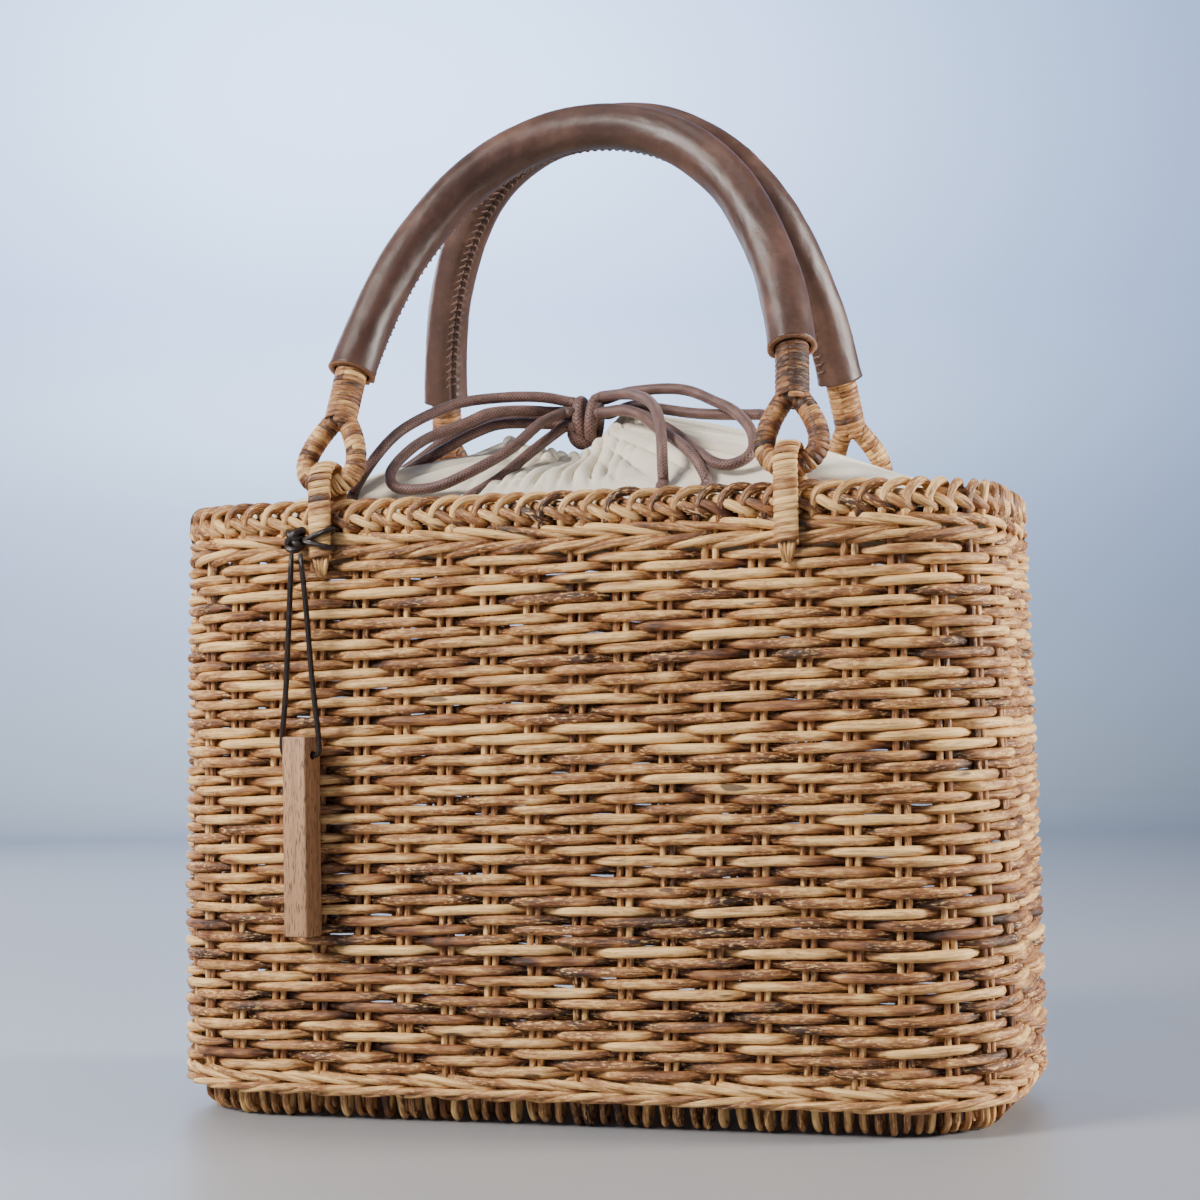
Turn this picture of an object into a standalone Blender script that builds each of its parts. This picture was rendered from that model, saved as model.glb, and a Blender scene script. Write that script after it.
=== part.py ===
"""Woven basket bag with two hinged arch handles, a drawstring cloth cover and a wooden tag.

Frame: metres, +Z up, origin on the ground under the middle of the basket.
The front of the bag looks towards -Y and its long side lies along X.
"""
import math

import bmesh
import bpy
from mathutils import Matrix, Vector

# Basket outline
RIM_HALF_WIDTH = 0.150
RIM_HALF_DEPTH = 0.0691
CORNER_RADIUS = 0.041
RIM_HEIGHT = 0.2173
WALL_THICKNESS = 0.008
WALL_SPREAD = 0.0034
WALL_BULGE = 0.001
RIM_THICKNESS = 0.0095
RIM_BAND = 0.0118
UPPER_WALE_BAND = 0.0097
LOWER_WALE_BAND = 0.0078
FOOT_HEIGHT = 0.009
FOOT_INSET = 0.0052
FOOT_WIDTH = 0.009
BASE_THICKNESS = 0.005
EDGE_ROUND = 0.0018
SEAT_GAP = 0.0003
RING_POINTS = 56

# Staples that carry the handles
STAPLE_X = 0.0833
STAPLE_HALF_WIDTH = 0.0045
STAPLE_THICKNESS = 0.004
STAPLE_DROP = 0.022
STAPLE_INSIDE_DROP = 0.017
HINGE_RISE = 0.0044

# Handles
STEM_RADIUS = 0.006
LOOP_ROD_RADIUS = 0.0039
LOOP_INNER_HALF = 0.0055
LOOP_STRAIGHT = 0.014
FORK_RISE = 0.029
ARCH_LIFT = 0.0036
GRIP_RADIUS = 0.0086
GRIP_WALL = 0.0021
GRIP_START = 0.046
GRIP_GAP = 0.0005
FRONT_ARCH_HALF = 0.0842
FRONT_ARCH_RISE = 0.141
FRONT_ARCH_POWER = 2.12
BACK_ARCH_HALF = 0.0813
BACK_ARCH_RISE = 0.145
BACK_ARCH_POWER = 2.36

# Cloth cover
CLOTH_THICKNESS = 0.0015
HEM_DROP = 0.016
HEM_GAP = 0.0004
SHOULDER_DROP = 0.0035
MOUTH_CENTRE_X = -0.009
MOUTH_CENTRE_Y = -0.005
MOUTH_HALF_LENGTH = 0.028
MOUTH_HALF_WIDTH = 0.010
MOUTH_RISE = 0.014
GATHER_COUNT = 12
GATHER_DEPTH = 0.0008
COVER_POINTS = 48
# Round the mouth: turn in degrees from +X, lip height above the mouth rise as a
# share of it, rise power along the cloth, and swell as a share of the mouth rise
COVER_SWELL = (
    (0.0, 1.05, 1.05, 0.10),
    (45.0, 1.25, 0.90, 0.30),
    (90.0, 0.45, 1.20, 0.25),
    (135.0, 0.55, 1.70, 0.10),
    (180.0, 0.75, 2.60, 0.00),
    (225.0, 0.20, 1.90, 0.00),
    (270.0, -0.05, 1.10, 0.00),
    (315.0, 0.65, 1.05, 0.00),
)

# Drawcord
CORD_DIAMETER = 0.004
KNOT_CENTRE = (-0.004, -0.008, 0.247)
KNOT_HALF = (0.0050, 0.0068, 0.0092)
KNOT_EDGE = 0.0018
CORD_STEP = 0.0125
CORD_ROUTES = {
    "cord_left_far": (
        (-0.0094, -0.0090, 0.2542),
        (-0.0114, -0.0092, 0.2545),
        (-0.0200, -0.0120, 0.2562),
        (-0.0320, -0.0150, 0.2565),
        (-0.0470, -0.0200, 0.2550),
        (-0.0570, -0.0260, 0.2510),
        (-0.0670, -0.0340, 0.2440),
        (-0.0730, -0.0420, 0.2350),
        (-0.0785, -0.0480, 0.2240),
        (-0.0800, -0.0500, 0.2190),
    ),
    "cord_left_bow": (
        (-0.0094, -0.0046, 0.2512),
        (-0.0114, -0.0046, 0.2512),
        (-0.0180, -0.0070, 0.2513),
        (-0.0280, -0.0140, 0.2515),
        (-0.0380, -0.0195, 0.2505),
        (-0.0450, -0.0240, 0.2470),
        (-0.0580, -0.0310, 0.2410),
        (-0.0640, -0.0390, 0.2345),
        (-0.0665, -0.0470, 0.2270),
        (-0.0620, -0.0510, 0.2215),
        (-0.0490, -0.0515, 0.2210),
        (-0.0370, -0.0490, 0.2255),
        (-0.0240, -0.0390, 0.2345),
        (-0.0172, -0.0245, 0.2450),
        (-0.0118, -0.0145, 0.2496),
        (-0.0094, -0.0134, 0.2500),
    ),
    "cord_left_under": (
        (-0.0094, -0.0046, 0.2458),
        (-0.0114, -0.0046, 0.2458),
        (-0.0190, -0.0068, 0.2468),
        (-0.0350, -0.0130, 0.2470),
        (-0.0440, -0.0190, 0.2435),
        (-0.0530, -0.0240, 0.2380),
        (-0.0640, -0.0260, 0.2320),
        (-0.0710, -0.0290, 0.2270),
        (-0.0770, -0.0330, 0.2215),
    ),
    "cord_left_back": (
        (-0.0094, -0.0003, 0.2486),
        (-0.0114, -0.0003, 0.2488),
        (-0.0260, 0.0002, 0.2508),
        (-0.0380, -0.0010, 0.2505),
        (-0.0500, -0.0020, 0.2480),
        (-0.0600, -0.0060, 0.2430),
        (-0.0690, -0.0120, 0.2350),
        (-0.0760, -0.0180, 0.2288),
        (-0.0795, -0.0215, 0.2250),
    ),
    "cord_left_near": (
        (-0.0094, -0.0130, 0.2448),
        (-0.0116, -0.0133, 0.2446),
        (-0.0200, -0.0250, 0.2352),
        (-0.0275, -0.0390, 0.2248),
        (-0.0325, -0.0480, 0.2195),
        (-0.0342, -0.0505, 0.2180),
    ),
    "cord_right_bow": (
        (0.0014, -0.0055, 0.2550),
        (0.0034, -0.0057, 0.2553),
        (0.0120, -0.0090, 0.2568),
        (0.0270, -0.0140, 0.2567),
        (0.0374, -0.0180, 0.2548),
        (0.0476, -0.0240, 0.2501),
        (0.0559, -0.0300, 0.2458),
        (0.0630, -0.0375, 0.2393),
        (0.0662, -0.0430, 0.2334),
        (0.0660, -0.0465, 0.2289),
        (0.0630, -0.0485, 0.2260),
        (0.0576, -0.0490, 0.2248),
        (0.0512, -0.0465, 0.2270),
        (0.0414, -0.0350, 0.2340),
        (0.0324, -0.0255, 0.2400),
        (0.0246, -0.0185, 0.2442),
        (0.0180, -0.0135, 0.2478),
        (0.0100, -0.0100, 0.2503),
        (0.0036, -0.0080, 0.2502),
        (0.0014, -0.0080, 0.2502),
    ),
    "cord_right_tail": (
        (0.0014, -0.0025, 0.2500),
        (0.0034, -0.0026, 0.2501),
        (0.0122, -0.0050, 0.2522),
        (0.0225, -0.0105, 0.2503),
        (0.0378, -0.0170, 0.2470),
        (0.0522, -0.0220, 0.2452),
        (0.0674, -0.0270, 0.2440),
    ),
    "cord_right_mid": (
        (0.0014, -0.0108, 0.2552),
        (0.0034, -0.0112, 0.2555),
        (0.0147, -0.0185, 0.2548),
        (0.0242, -0.0280, 0.2513),
        (0.0303, -0.0370, 0.2452),
        (0.0339, -0.0455, 0.2358),
        (0.0355, -0.0505, 0.2254),
        (0.0360, -0.0515, 0.2194),
    ),
    "cord_right_near": (
        (0.0014, -0.0127, 0.2492),
        (0.0036, -0.0130, 0.2493),
        (0.0117, -0.0165, 0.2492),
        (0.0203, -0.0215, 0.2464),
        (0.0279, -0.0300, 0.2410),
        (0.0385, -0.0410, 0.2345),
        (0.0462, -0.0470, 0.2278),
        (0.0505, -0.0510, 0.2217),
        (0.0515, -0.0515, 0.2185),
    ),
}

# Wooden tag and its thong
TAG_LENGTH = 0.069
TAG_SIDE = 0.0096
TAG_TOP = 0.134
TAG_TURN = -11.0
TAG_EDGE = 0.0006
TAG_HOLE_RADIUS = 0.0016
TAG_HOLE_DROP = 0.0065
TAG_X = -0.0885
TAG_WALL_GAP = 0.0006
THONG_DIAMETER = 0.002
THONG_KNOT_HALF = (0.0036, 0.0030, 0.0048)
THONG_KNOT_RISE = 0.069
THONG_ROUTE = (
    (-0.0915, -0.0780, 0.1975),
    (-0.0925, -0.0785, 0.1750),
    (-0.0940, -0.0785, 0.1500),
    (-0.0957, -0.0780, 0.1340),
    (-0.0958, -0.0773, 0.1290),
    (-0.0940, -0.0774, 0.1275),
    (-0.0885, -0.0785, 0.1275),
    (-0.0830, -0.0796, 0.1275),
    (-0.0813, -0.0799, 0.1290),
    (-0.0815, -0.0795, 0.1340),
    (-0.0842, -0.0785, 0.1550),
    (-0.0862, -0.0780, 0.1780),
    (-0.0882, -0.0780, 0.1975),
)

# Colours as linear red, green, blue, then roughness
COLOURS = {
    "straw": ((0.46, 0.29, 0.13), 0.6),
    "peel": ((0.50, 0.31, 0.13), 0.5),
    "leather": ((0.085, 0.045, 0.032), 0.42),
    "cotton": ((0.74, 0.68, 0.56), 0.9),
    "cord": ((0.075, 0.042, 0.035), 0.6),
    "thong": ((0.045, 0.03, 0.022), 0.6),
    "wood": ((0.40, 0.24, 0.11), 0.55),
}

UPPER_WALE_TOP = RIM_HEIGHT - RIM_BAND - SEAT_GAP
UPPER_WALE_FOOT = UPPER_WALE_TOP - UPPER_WALE_BAND
WALL_TOP = UPPER_WALE_FOOT - SEAT_GAP
LOWER_WALE_FOOT = FOOT_HEIGHT + SEAT_GAP
LOWER_WALE_TOP = LOWER_WALE_FOOT + LOWER_WALE_BAND
WALL_FOOT = LOWER_WALE_TOP + SEAT_GAP
HINGE_Y = RIM_HALF_DEPTH - RIM_THICKNESS / 2
HINGE_Z = RIM_HEIGHT + HINGE_RISE
PEEL_SIDES = 8
SPAN_POINTS = 8
GRIP_SIDES = 12
GRIP_POINTS = 21


def clear_scene():
    for item in list(bpy.data.objects):
        bpy.data.objects.remove(item, do_unlink=True)


def material(name, look):
    colour, roughness = COLOURS[look]
    made = bpy.data.materials.new(name)
    made.use_nodes = True
    shader = made.node_tree.nodes["Principled BSDF"]
    shader.inputs["Base Color"].default_value = (*colour, 1.0)
    shader.inputs["Roughness"].default_value = roughness
    shader.inputs["Metallic"].default_value = 0.0
    return made


def finish(name, bm, look, smooth_angle=40.0, parent=None):
    """Turn a bmesh into a named object; with a parent the points are kept about its origin."""
    bmesh.ops.recalc_face_normals(bm, faces=bm.faces[:])
    mesh = bpy.data.meshes.new(name)
    bm.to_mesh(mesh)
    bm.free()
    mesh.shade_smooth()
    mesh.set_sharp_from_angle(angle=math.radians(smooth_angle))
    made = bpy.data.objects.new(name, mesh)
    bpy.context.scene.collection.objects.link(made)
    made.data.materials.append(material(name, look))
    if parent is not None:
        mesh.transform(Matrix.Translation(-parent.location))
        made.parent = parent
    return made


def outline_point(half_width, half_depth, radius, share):
    """Point of a rounded rectangle, a share of the way round from the middle of the front."""
    straight_x = half_width - radius
    straight_y = half_depth - radius
    quarter = math.pi * radius / 2
    runs = (straight_x, quarter, 2 * straight_y, quarter, 2 * straight_x, quarter,
            2 * straight_y, quarter, straight_x)
    way = (share % 1.0) * sum(runs)
    for index, run in enumerate(runs):
        if way <= run or index == len(runs) - 1:
            break
        way -= run
    if index == 0:
        return way, -half_depth
    if index == 2:
        return half_width, -straight_y + way
    if index == 4:
        return straight_x - way, half_depth
    if index == 6:
        return -half_width, straight_y - way
    if index == 8:
        return -straight_x + way, -half_depth
    corner = (index - 1) // 2
    centre_x = straight_x if corner in (0, 1) else -straight_x
    centre_y = straight_y if corner in (1, 2) else -straight_y
    turn = math.radians(-90 + 90 * corner) + way / radius
    return centre_x + radius * math.cos(turn), centre_y + radius * math.sin(turn)


def basket_ring(offset, height, share):
    """Point on the basket's outline grown by an offset."""
    x, y = outline_point(RIM_HALF_WIDTH + offset, RIM_HALF_DEPTH + offset, CORNER_RADIUS + offset, share)
    return Vector((x, y, height))


def wall_offset(height):
    share = height / RIM_HEIGHT
    return WALL_SPREAD * (1 - share) + WALL_BULGE * math.sin(math.pi * share)


def ring_solid(name, profile, look, count=RING_POINTS):
    """Closed ring swept round the outline from a closed profile of offsets and heights."""
    bm = bmesh.new()
    rings = []
    for offset, height in profile:
        rings.append([bm.verts.new(basket_ring(offset, height, i / count)) for i in range(count)])
    for row in range(len(rings)):
        lower = rings[row]
        upper = rings[(row + 1) % len(rings)]
        for i in range(count):
            j = (i + 1) % count
            bm.faces.new((lower[i], lower[j], upper[j], upper[i]))
    return finish(name, bm, look)


def band_profile(foot, top, outer_at, thickness, rounding=EDGE_ROUND, levels=1):
    """Section of a band: outer side from foot to top, then back down its inner side."""
    outer = []
    for step in range(levels + 1):
        height = foot + rounding + (top - foot - 2 * rounding) * step / levels
        outer.append((outer_at(height), height))
    inner = [(offset - thickness, height) for offset, height in reversed(outer)]
    foot_offset = outer_at(foot)
    top_offset = outer_at(top)
    profile = [(foot_offset - rounding, foot)]
    profile += outer
    profile.append((top_offset - rounding, top))
    profile.append((top_offset - thickness + rounding, top))
    profile += inner
    profile.append((foot_offset - thickness + rounding, foot))
    return profile


def build_wall():
    profile = band_profile(WALL_FOOT, WALL_TOP, wall_offset, WALL_THICKNESS, levels=3)
    ring_solid("basket_wall", profile, "straw")


def build_wales():
    profile = band_profile(LOWER_WALE_FOOT, LOWER_WALE_TOP, wall_offset, WALL_THICKNESS)
    ring_solid("lower_wale", profile, "straw")
    profile = band_profile(UPPER_WALE_FOOT, UPPER_WALE_TOP, wall_offset, WALL_THICKNESS)
    ring_solid("upper_wale", profile, "straw")


def build_rim():
    foot = RIM_HEIGHT - RIM_BAND
    middle = (foot + RIM_HEIGHT) / 2
    shoulder = RIM_HEIGHT - RIM_THICKNESS * 0.2
    inner = -RIM_THICKNESS
    profile = (
        (-RIM_THICKNESS * 0.2, foot),
        (0.0, foot + EDGE_ROUND),
        (0.0, middle),
        (-RIM_THICKNESS * 0.1, shoulder),
        (-RIM_THICKNESS * 0.35, RIM_HEIGHT),
        (-RIM_THICKNESS * 0.65, RIM_HEIGHT),
        (-RIM_THICKNESS * 0.9, shoulder),
        (inner, middle),
        (inner, foot + EDGE_ROUND),
        (-RIM_THICKNESS * 0.8, foot),
    )
    ring_solid("rim_border", profile, "straw")


def build_foot_and_base():
    profile = band_profile(0.0, FOOT_HEIGHT, lambda height: -FOOT_INSET, FOOT_WIDTH)
    ring_solid("foot_border", profile, "straw")
    bm = bmesh.new()
    low = FOOT_HEIGHT + SEAT_GAP
    edge = wall_offset(low) - WALL_THICKNESS - SEAT_GAP
    rings = []
    for height in (low, low + BASE_THICKNESS):
        ring = [bm.verts.new(basket_ring(edge, height, i / RING_POINTS)) for i in range(RING_POINTS)]
        rings.append(ring)
        bm.faces.new(ring)
    for i in range(RING_POINTS):
        j = (i + 1) % RING_POINTS
        bm.faces.new((rings[0][i], rings[0][j], rings[1][j], rings[1][i]))
    finish("basket_base", bm, "straw")


def resample(points, count, closed=False):
    """Evenly spaced points along a line of points."""
    line = list(points)
    if closed:
        line.append(points[0])
    lengths = [0.0]
    for first, second in zip(line, line[1:]):
        lengths.append(lengths[-1] + (second - first).length)
    steps = count if closed else count - 1
    made = []
    spot = 0
    for i in range(count):
        way = lengths[-1] * i / steps
        while spot < len(lengths) - 2 and lengths[spot + 1] < way:
            spot += 1
        span = lengths[spot + 1] - lengths[spot]
        share = (way - lengths[spot]) / span if span > 0 else 0.0
        made.append(line[spot].lerp(line[spot + 1], share))
    return made


def smooth_route(points, per_span=SPAN_POINTS):
    """Smooth curve through chosen points."""
    line = [Vector(point) for point in points]
    line = [line[0] * 2 - line[1]] + line + [line[-1] * 2 - line[-2]]
    made = []
    for i in range(1, len(line) - 2):
        before, start, end, after = line[i - 1:i + 3]
        for step in range(per_span):
            t = step / per_span
            made.append(0.5 * (2 * start + (end - before) * t
                               + (2 * before - 5 * start + 4 * end - after) * t ** 2
                               + (3 * start - before - 3 * end + after) * t ** 3))
    made.append(line[-2])
    return made


def sweep(bm, path, across, side, normal, sides, closed=False):
    """Sweep an oval section along a flat path and return its rings."""
    count = len(path)
    rings = []
    for i, point in enumerate(path):
        if closed:
            heading = path[(i + 1) % count] - path[i - 1]
        else:
            heading = path[min(i + 1, count - 1)] - path[max(i - 1, 0)]
        outward = heading.normalized().cross(normal)
        ring = []
        for j in range(sides):
            turn = 2 * math.pi * j / sides
            ring.append(bm.verts.new(point + normal * across * math.cos(turn) + outward * side * math.sin(turn)))
        rings.append(ring)
    pairs = list(zip(rings, rings[1:]))
    if closed:
        pairs.append((rings[-1], rings[0]))
    for first, second in pairs:
        for j in range(sides):
            k = (j + 1) % sides
            bm.faces.new((first[j], first[k], second[k], second[j]))
    return rings


def tube(bm, path, across, side, normal, sides, closed=False):
    rings = sweep(bm, path, across, side, normal, sides, closed)
    if not closed:
        bm.faces.new(rings[0])
        bm.faces.new(rings[-1])


def build_staples():
    half = STAPLE_THICKNESS / 2
    outside = RIM_HALF_DEPTH + wall_offset(RIM_HEIGHT - STAPLE_DROP) + SEAT_GAP + half
    inside = RIM_HALF_DEPTH - RIM_THICKNESS - SEAT_GAP - half
    radius = (outside - inside) / 2
    middle = (outside + inside) / 2
    for side_name, sign in (("front", -1), ("back", 1)):
        for end_name, x in (("left", -STAPLE_X), ("right", STAPLE_X)):
            path = [Vector((x, sign * outside, RIM_HEIGHT - STAPLE_DROP))]
            path.append(Vector((x, sign * outside, RIM_HEIGHT - STAPLE_DROP / 2)))
            for step in range(9):
                turn = math.pi * step / 8
                y = sign * (middle + radius * math.cos(turn))
                path.append(Vector((x, y, HINGE_Z + radius * math.sin(turn))))
            path.append(Vector((x, sign * inside, RIM_HEIGHT - STAPLE_INSIDE_DROP)))
            bm = bmesh.new()
            tube(bm, path, STAPLE_HALF_WIDTH, half, Vector((1, 0, 0)), PEEL_SIDES)
            finish("rim_staple_" + side_name + "_" + end_name, bm, "peel")


class Arch:
    """Flat arch of one handle: u runs along X and v up the leaning plane from the hinge axis."""

    def __init__(self, sign, half, rise, power):
        self.half = half
        self.rise = rise
        self.power = power
        top = ARCH_LIFT + rise
        reach = HINGE_Y - GRIP_RADIUS - GRIP_GAP / 2
        self.lean = math.asin(max(-1.0, min(1.0, reach / top)))
        self.hinge = Vector((0, sign * HINGE_Y, HINGE_Z))
        self.up = Vector((0, -sign * math.sin(self.lean), math.cos(self.lean)))
        self.normal = Vector((1, 0, 0)).cross(self.up)

    def place(self, u, v):
        return self.hinge + Vector((u, 0, 0)) + self.up * v

    def bow(self, turn):
        """Point of the arch's own curve; turn runs from 0 at the right foot to pi at the left."""
        cosine = math.cos(turn)
        u = math.copysign(self.half * abs(cosine) ** (2 / self.power), cosine)
        return u, ARCH_LIFT + self.rise * math.sin(turn) ** (2 / self.power)

    def grip_line(self):
        """Curve between the two grip ends."""
        start = math.asin(((GRIP_START - ARCH_LIFT) / self.rise) ** (self.power / 2))
        steps = 60
        return [self.bow(start + (math.pi - 2 * start) * i / steps) for i in range(steps + 1)]

    def draw_in(self, v):
        """How far the middle of a leg stands from the staple at one height."""
        share = max(0.0, v - LOOP_STRAIGHT) / (GRIP_START - LOOP_STRAIGHT)
        return (self.grip_line()[0][0] - STAPLE_X) * share


def loop_line(arch, sign):
    """Closed teardrop: round the bow, then up both legs into the stem."""
    radius = LOOP_INNER_HALF + LOOP_ROD_RADIUS
    top = FORK_RISE - LOOP_ROD_RADIUS * 0.3
    lift = radius * 0.95
    made = []
    for step in range(13):
        turn = math.pi * (1 + step / 12)
        made.append((radius * math.cos(turn), lift + lift * math.sin(turn)))
    for step in range(1, 7):
        share = step / 6
        width = radius * (1 - share ** 1.6) + LOOP_ROD_RADIUS * 0.35 * share
        made.append((width, lift + (top - lift) * share))
    for step in range(6, 0, -1):
        share = step / 6
        width = radius * (1 - share ** 1.6) + LOOP_ROD_RADIUS * 0.35 * share
        made.append((-width, lift + (top - lift) * share))
    return [arch.place(sign * (STAPLE_X + arch.draw_in(v) + u), v) for u, v in made]


def build_handle(name, sign, half, rise, power):
    arch = Arch(sign, half, rise, power)
    pivot = bpy.data.objects.new(name + "_handle_pivot", None)
    pivot.location = arch.hinge
    bpy.context.scene.collection.objects.link(pivot)

    line = resample([arch.place(u, v) for u, v in arch.grip_line()], GRIP_POINTS)
    low = FORK_RISE - STEM_RADIUS * 0.7
    foot = STAPLE_X + arch.draw_in(low)
    stem = [arch.place(foot, low)] + line + [arch.place(-foot, low)]
    bm = bmesh.new()
    tube(bm, stem, STEM_RADIUS, STEM_RADIUS, arch.normal, PEEL_SIDES)
    core = finish(name + "_handle_core", bm, "peel", parent=pivot)
    for end_name, side in (("left", -1), ("right", 1)):
        bm = bmesh.new()
        teardrop = resample(loop_line(arch, side), 22, closed=True)
        tube(bm, teardrop, LOOP_ROD_RADIUS, LOOP_ROD_RADIUS, arch.normal, PEEL_SIDES, closed=True)
        loop = finish(name + "_loop_guide_" + end_name, bm, "peel", parent=pivot)
        loop.hide_render = True
        loop.display_type = "WIRE"
        union = core.modifiers.new("join_" + end_name, "BOOLEAN")
        union.operation = "UNION"
        union.solver = "EXACT"
        union.use_self = True
        union.object = loop

    bm = bmesh.new()
    outer = sweep(bm, line, GRIP_RADIUS, GRIP_RADIUS, arch.normal, GRIP_SIDES)
    hollow = GRIP_RADIUS - GRIP_WALL
    inner = sweep(bm, line, hollow, hollow, arch.normal, GRIP_SIDES)
    for end in (0, -1):
        for j in range(GRIP_SIDES):
            k = (j + 1) % GRIP_SIDES
            bm.faces.new((outer[end][j], outer[end][k], inner[end][k], inner[end][j]))
    finish(name + "_grip", bm, "leather", parent=pivot)


def swell_at(turn):
    """Lip, power and swell of the cover in one direction, read smoothly from the table."""
    degrees = math.degrees(turn) % 360.0
    count = len(COVER_SWELL)
    span = 360.0 / count
    index = int(degrees // span) % count
    share = (degrees - index * span) / span
    ease = share * share * (3 - 2 * share)
    first = COVER_SWELL[index]
    second = COVER_SWELL[(index + 1) % count]
    return [first[k] + (second[k] - first[k]) * ease for k in (1, 2, 3)]


def cover_point(share, way):
    """Middle of the cloth: share round the mouth, way 0 at the shoulder and 1 at the lip."""
    inset = -RIM_THICKNESS - STAPLE_THICKNESS - HEM_GAP - SEAT_GAP - CLOTH_THICKNESS / 2
    outer = basket_ring(inset, RIM_HEIGHT - SHOULDER_DROP, share)
    turn = math.atan2(outer.y - MOUTH_CENTRE_Y, (outer.x - MOUTH_CENTRE_X) * 0.45)
    lip_share, power, swell = swell_at(turn)
    gather = GATHER_DEPTH * math.cos(GATHER_COUNT * turn) * way
    mouth_x = MOUTH_CENTRE_X + (MOUTH_HALF_LENGTH + gather) * math.cos(turn)
    mouth_y = MOUTH_CENTRE_Y + (MOUTH_HALF_WIDTH + gather) * math.sin(turn)
    x = outer.x + (mouth_x - outer.x) * way
    y = outer.y + (mouth_y - outer.y) * way
    rise = SHOULDER_DROP + MOUTH_RISE * (1 + lip_share)
    height = outer.z + rise * way ** power + MOUTH_RISE * swell * math.sin(math.pi * way)
    return Vector((x, y, height + gather * 0.5))


def build_cover():
    """Cloth from its hem inside the rim, over the shoulder and up to the gathered mouth."""
    ways = (0.0, 0.16, 0.36, 0.58, 0.8, 1.0)
    bm = bmesh.new()
    columns = []
    for i in range(COVER_POINTS):
        share = i / COVER_POINTS
        rows = [cover_point(share, way) for way in ways]
        hem = rows[0] - Vector((0, 0, HEM_DROP - SHOULDER_DROP))
        columns.append([hem] + rows)
    count = len(columns[0])
    middle = bmesh.new()
    grid = [[middle.verts.new(point) for point in column] for column in columns]
    for i in range(COVER_POINTS):
        j = (i + 1) % COVER_POINTS
        for k in range(count - 1):
            middle.faces.new((grid[i][k], grid[j][k], grid[j][k + 1], grid[i][k + 1]))
    middle.normal_update()
    half = CLOTH_THICKNESS / 2
    outside = [[bm.verts.new(v.co + v.normal * half) for v in column] for column in grid]
    inside = [[bm.verts.new(v.co - v.normal * half) for v in column] for column in grid]
    middle.free()
    for i in range(COVER_POINTS):
        j = (i + 1) % COVER_POINTS
        for k in range(count - 1):
            bm.faces.new((outside[i][k], outside[j][k], outside[j][k + 1], outside[i][k + 1]))
            bm.faces.new((inside[i][k], inside[i][k + 1], inside[j][k + 1], inside[j][k]))
        for k in (0, count - 1):
            bm.faces.new((outside[i][k], outside[j][k], inside[j][k], inside[i][k]))
    finish("drawstring_cover", bm, "cotton")


def even_route(route, step):
    """Points along the smooth curve through chosen ones: even between its two end stubs."""
    smooth = smooth_route(route)
    middle = smooth[SPAN_POINTS:-SPAN_POINTS]
    length = sum((b - a).length for a, b in zip(middle, middle[1:]))
    return [smooth[0]] + resample(middle, max(4, round(length / step) + 1)) + [smooth[-1]]


def cord_tube(name, points, diameter, look):
    """Free cord as a filled tube along its points."""
    curve = bpy.data.curves.new(name, "CURVE")
    curve.dimensions = "3D"
    curve.bevel_depth = diameter / 2
    curve.bevel_resolution = 2
    curve.use_fill_caps = True
    spline = curve.splines.new("POLY")
    spline.points.add(len(points) - 1)
    for spot, point in zip(spline.points, points):
        spot.co = (*point, 1.0)
    made = bpy.data.objects.new(name, curve)
    bpy.context.scene.collection.objects.link(made)
    curve.materials.append(material(name, look))
    return made


def lump(name, centre, half, look):
    """Rounded lump that stands for a tight knot."""
    bm = bmesh.new()
    bmesh.ops.create_uvsphere(bm, u_segments=10, v_segments=6, radius=1.0)
    for vert in bm.verts:
        vert.co = Vector(centre) + Vector(a * b for a, b in zip(vert.co, half))
    finish(name, bm, look)


def build_drawcord():
    bm = bmesh.new()
    bmesh.ops.create_cube(bm, size=2.0)
    bmesh.ops.scale(bm, vec=KNOT_HALF, verts=bm.verts[:])
    bmesh.ops.bevel(bm, geom=bm.edges[:], offset=KNOT_EDGE, segments=2, profile=0.5, affect="EDGES", material=-1)
    bmesh.ops.translate(bm, vec=KNOT_CENTRE, verts=bm.verts[:])
    finish("drawcord_knot", bm, "cord")
    for name, route in CORD_ROUTES.items():
        cord_tube(name, even_route(route, CORD_STEP), CORD_DIAMETER, "cord")


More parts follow.
